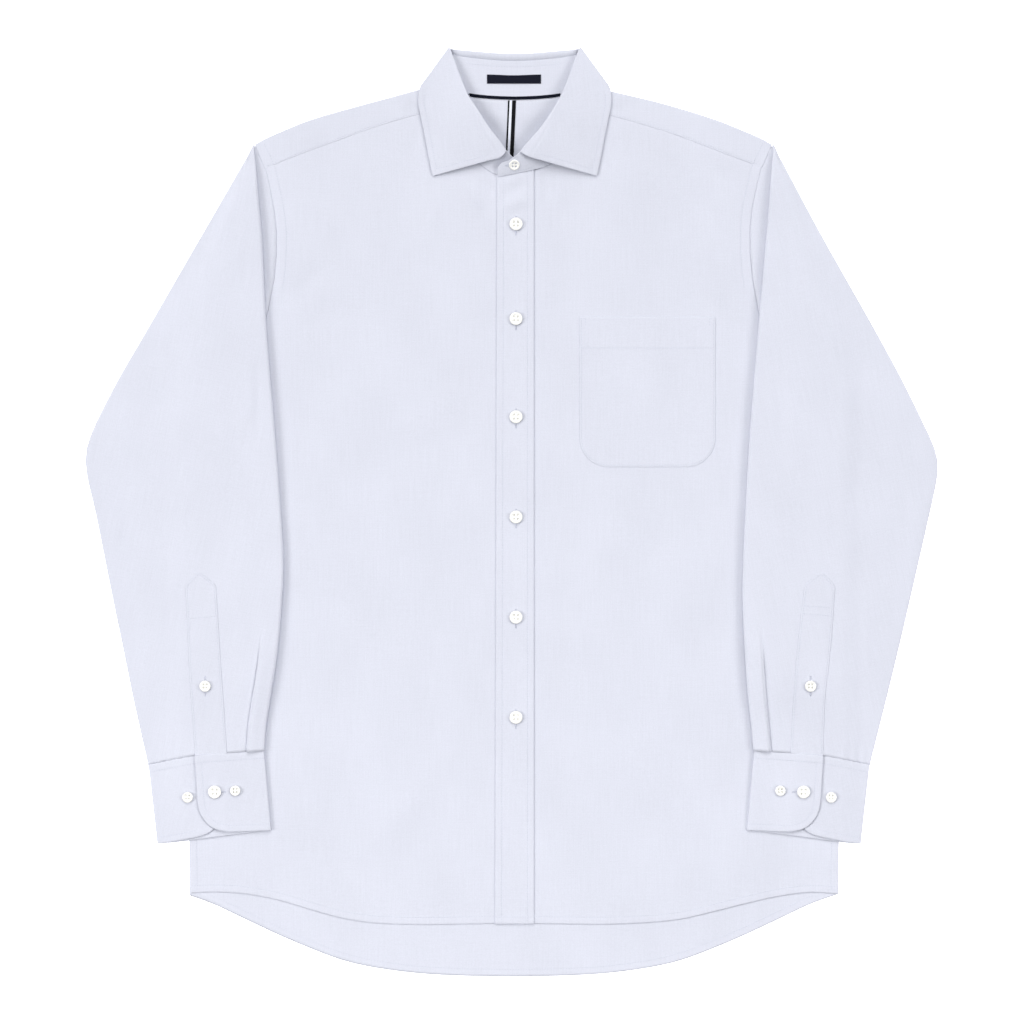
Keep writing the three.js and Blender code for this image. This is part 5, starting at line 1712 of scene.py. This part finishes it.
cloth = {
    "back": shell("back_cloth", make_back(), SHIRTING),
    "yoke": shell("yoke_cloth", make_yoke(), SHIRTING),
    "front_left": shell("front_left_cloth", make_front("left"), SHIRTING),
    "front_right": shell("front_right_cloth", make_front("right"), SHIRTING),
    "front_placket": shell("front_placket_cloth", make_front_placket(), SHIRTING, DOUBLE_CLOTH),
    "pocket": shell("pocket_cloth", make_pocket(), SHIRTING),
    "collar_stand": shell("collar_stand_cloth", make_stand(), SHIRTING, DOUBLE_CLOTH),
    "collar_leaf": shell("collar_leaf_cloth", make_leaf(), COLLAR_CLOTH, DOUBLE_CLOTH),
    "label": shell("label_cloth", make_label(), LABEL_CLOTH, TRIM_CLOTH),
    "neck_tape": shell("neck_tape_cloth", make_tape(), TAPE_CLOTH, TRIM_CLOTH),
    "back_ribbon": shell("back_ribbon_cloth", make_ribbon(), RIBBON_CLOTH, TRIM_CLOTH),
}
for side in SIDES:
    sleeve = shell(f"sleeve_{side}_cloth", make_sleeve(side), SLEEVE_CLOTH[side])
    band = make_sleeve_placket(side, sleeve)
    cloth[f"sleeve_{side}"] = sleeve
    cloth[f"cuff_{side}"] = shell(f"cuff_{side}_cloth", make_cuff(side), SLEEVE_CLOTH[side], DOUBLE_CLOTH)
    cloth[f"sleeve_placket_{side}"] = shell(f"sleeve_placket_{side}_cloth", band, SLEEVE_CLOTH[side])


for node, piece in cloth.items():
    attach(piece, "root")
    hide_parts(node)

# Stitches, buttonholes and buttons


def joined_tree(*nodes):
    """One search tree over several pieces."""
    corners, faces = [], []
    for node in nodes:
        mesh = cloth[node].data
        first = len(corners)
        corners.extend(v.co / MM for v in mesh.vertices)
        faces.extend(tuple(i + first for i in p.vertices) for p in mesh.polygons)
    return BVHTree.FromPolygons(corners, faces)


def sew_body():
    sewing = Sewing()
    placket = top_tree(cloth["front_placket"])
    left, right, bottom = placket_lines()
    sewing.row(placket, left, PLACKET_STITCH, start=2)
    sewing.row(placket, right, -PLACKET_STITCH, start=2)
    sewing.row(placket, bottom, HEM_STITCH)
    for y in FRONT_BUTTON_Y:
        sewing.buttonhole(placket, FRONT_BUTTON_X, y - 1.3, FRONT_HOLE, upright=True)
    sewing.row(top_tree(cloth["back"]), hem_line("back"), HEM_STITCH, start=22, stop=22)
    for side, sign in SIDES.items():
        front = joined_tree(f"front_{side}", "yoke")
        outside = {"left": -PLACKET["hem_left"], "right": PLACKET["right"]}[side] + 0.6
        sewing.row(front, hem_line(side, outside), sign * HEM_STITCH)
        sewing.row(front, side_line(side, -340, -284), sign * SIDE_STITCH)
        sewing.row(front, armhole_line(side), sign * ARMHOLE_STITCH, start=95)
        sewing.row(front, yoke_seam_line(side), sign * (EDGE_STITCH - LAP))
    pocket = top_tree(cloth["pocket"])
    sewing.row(pocket, pocket_line(), POCKET_STITCH)
    hem_y = POCKET["top"] - POCKET_HEM
    sewing.row(pocket, np.array([(POCKET["left"] + 2, hem_y), (POCKET["right"] - 2, hem_y)]))
    for x, aside in ((POCKET["left"], 5.2), (POCKET["right"], -5.2)):
        sewing.row(pocket, np.array([(x + aside, POCKET["top"] - 1), (x + aside, POCKET["top"] - 8.4)]))
        tack_y = POCKET["top"] - 1.4
        sewing.row(pocket, np.array([(x + aside, tack_y), (x + aside / 4, tack_y)]))
    sewing.build("body_stitches", THREAD)


def sew_collar():
    sewing = Sewing()
    leaf = top_tree(cloth["collar_leaf"])
    for side, sign in SIDES.items():
        sewing.row(leaf, leaf_outline(side), -sign * COLLAR_STITCH, start=4, stop=8)
    stand = top_tree(cloth["collar_stand"])
    seam, _ = stand_end_lines()
    sewing.row(stand, seam[::-1], EDGE_STITCH, start=1)
    sewing.row(stand, stand_stitch_line())
    x, y = COLLAR_BUTTON
    sewing.buttonhole(stand, x - 1.5, y - 0.4, 12, upright=False)
    sewing.build("collar_stitches", THREAD)


def sew_sleeve(side):
    sign = SIDES[side]
    sewing = Sewing()
    band = top_tree(cloth[f"sleeve_placket_{side}"])
    sewing.row(band, sleeve_placket_line(side), sign * EDGE_STITCH, stop=1)
    for y in SLEEVE_CROSS_Y[side]:
        inner = look_up(SLEEVE_PLACKET, "y", f"{side}_in", y) + 1.8
        outer = look_up(SLEEVE_PLACKET, "y", f"{side}_out", y) - 1.8
        sewing.row(band, np.array([(sign * inner, y), (sign * outer, y - 2)]))
    buttons = SLEEVE_BUTTONS
    place = dict(zip(("placket", "main", "inner", "outer"), zip(buttons[side], buttons["y"])))
    out, y = place["placket"]
    sewing.buttonhole(band, sign * out, y, SLEEVE_HOLE, upright=True)
    cuff = top_tree(cloth[f"cuff_{side}"])
    edges = cuff_lines(side)
    sewing.row(cuff, edges["over"], -sign * CUFF_STITCH, start=CUFF_TOP_STITCH)
    sewing.row(cuff, edges["under"], sign * CUFF_STITCH, start=20)
    sewing.row(cuff, edges["top"], -sign * CUFF_TOP_STITCH)
    out, y = place["main"]
    sewing.buttonhole(cuff, sign * (out - 2.6), y, 14, upright=False)
    sewing.build(f"sleeve_{side}_stitches", THREAD)


sew_body()
sew_collar()
for side in SIDES:
    sew_sleeve(side)

threads = Sewing()


def add_button(node, x, y, size, tree):
    piece = make_button(f"{node}_shell", x, y, size, tree, threads)
    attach(piece, "root")
    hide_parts(node)


placket_tree = top_tree(cloth["front_placket"])
add_button("button_collar", *COLLAR_BUTTON, BUTTON["collar"], top_tree(cloth["collar_stand"]))
for number, y in enumerate(FRONT_BUTTON_Y, 1):
    add_button(f"button_front_{number}", FRONT_BUTTON_X, y, BUTTON["front"], placket_tree)
for side, sign in SIDES.items():
    carriers = {"placket": top_tree(cloth[f"sleeve_placket_{side}"])}
    cuff_tree = top_tree(cloth[f"cuff_{side}"])
    kinds = ("placket", "main", "inner", "outer")
    for kind, out, y in zip(kinds, SLEEVE_BUTTONS[side], SLEEVE_BUTTONS["y"]):
        node = f"button_placket_{side}" if kind == "placket" else f"button_cuff_{kind}_{side}"
        add_button(node, sign * out, y, BUTTON[kind], carriers.get(kind, cuff_tree))
threads.build("button_threads", BUTTON_THREAD)
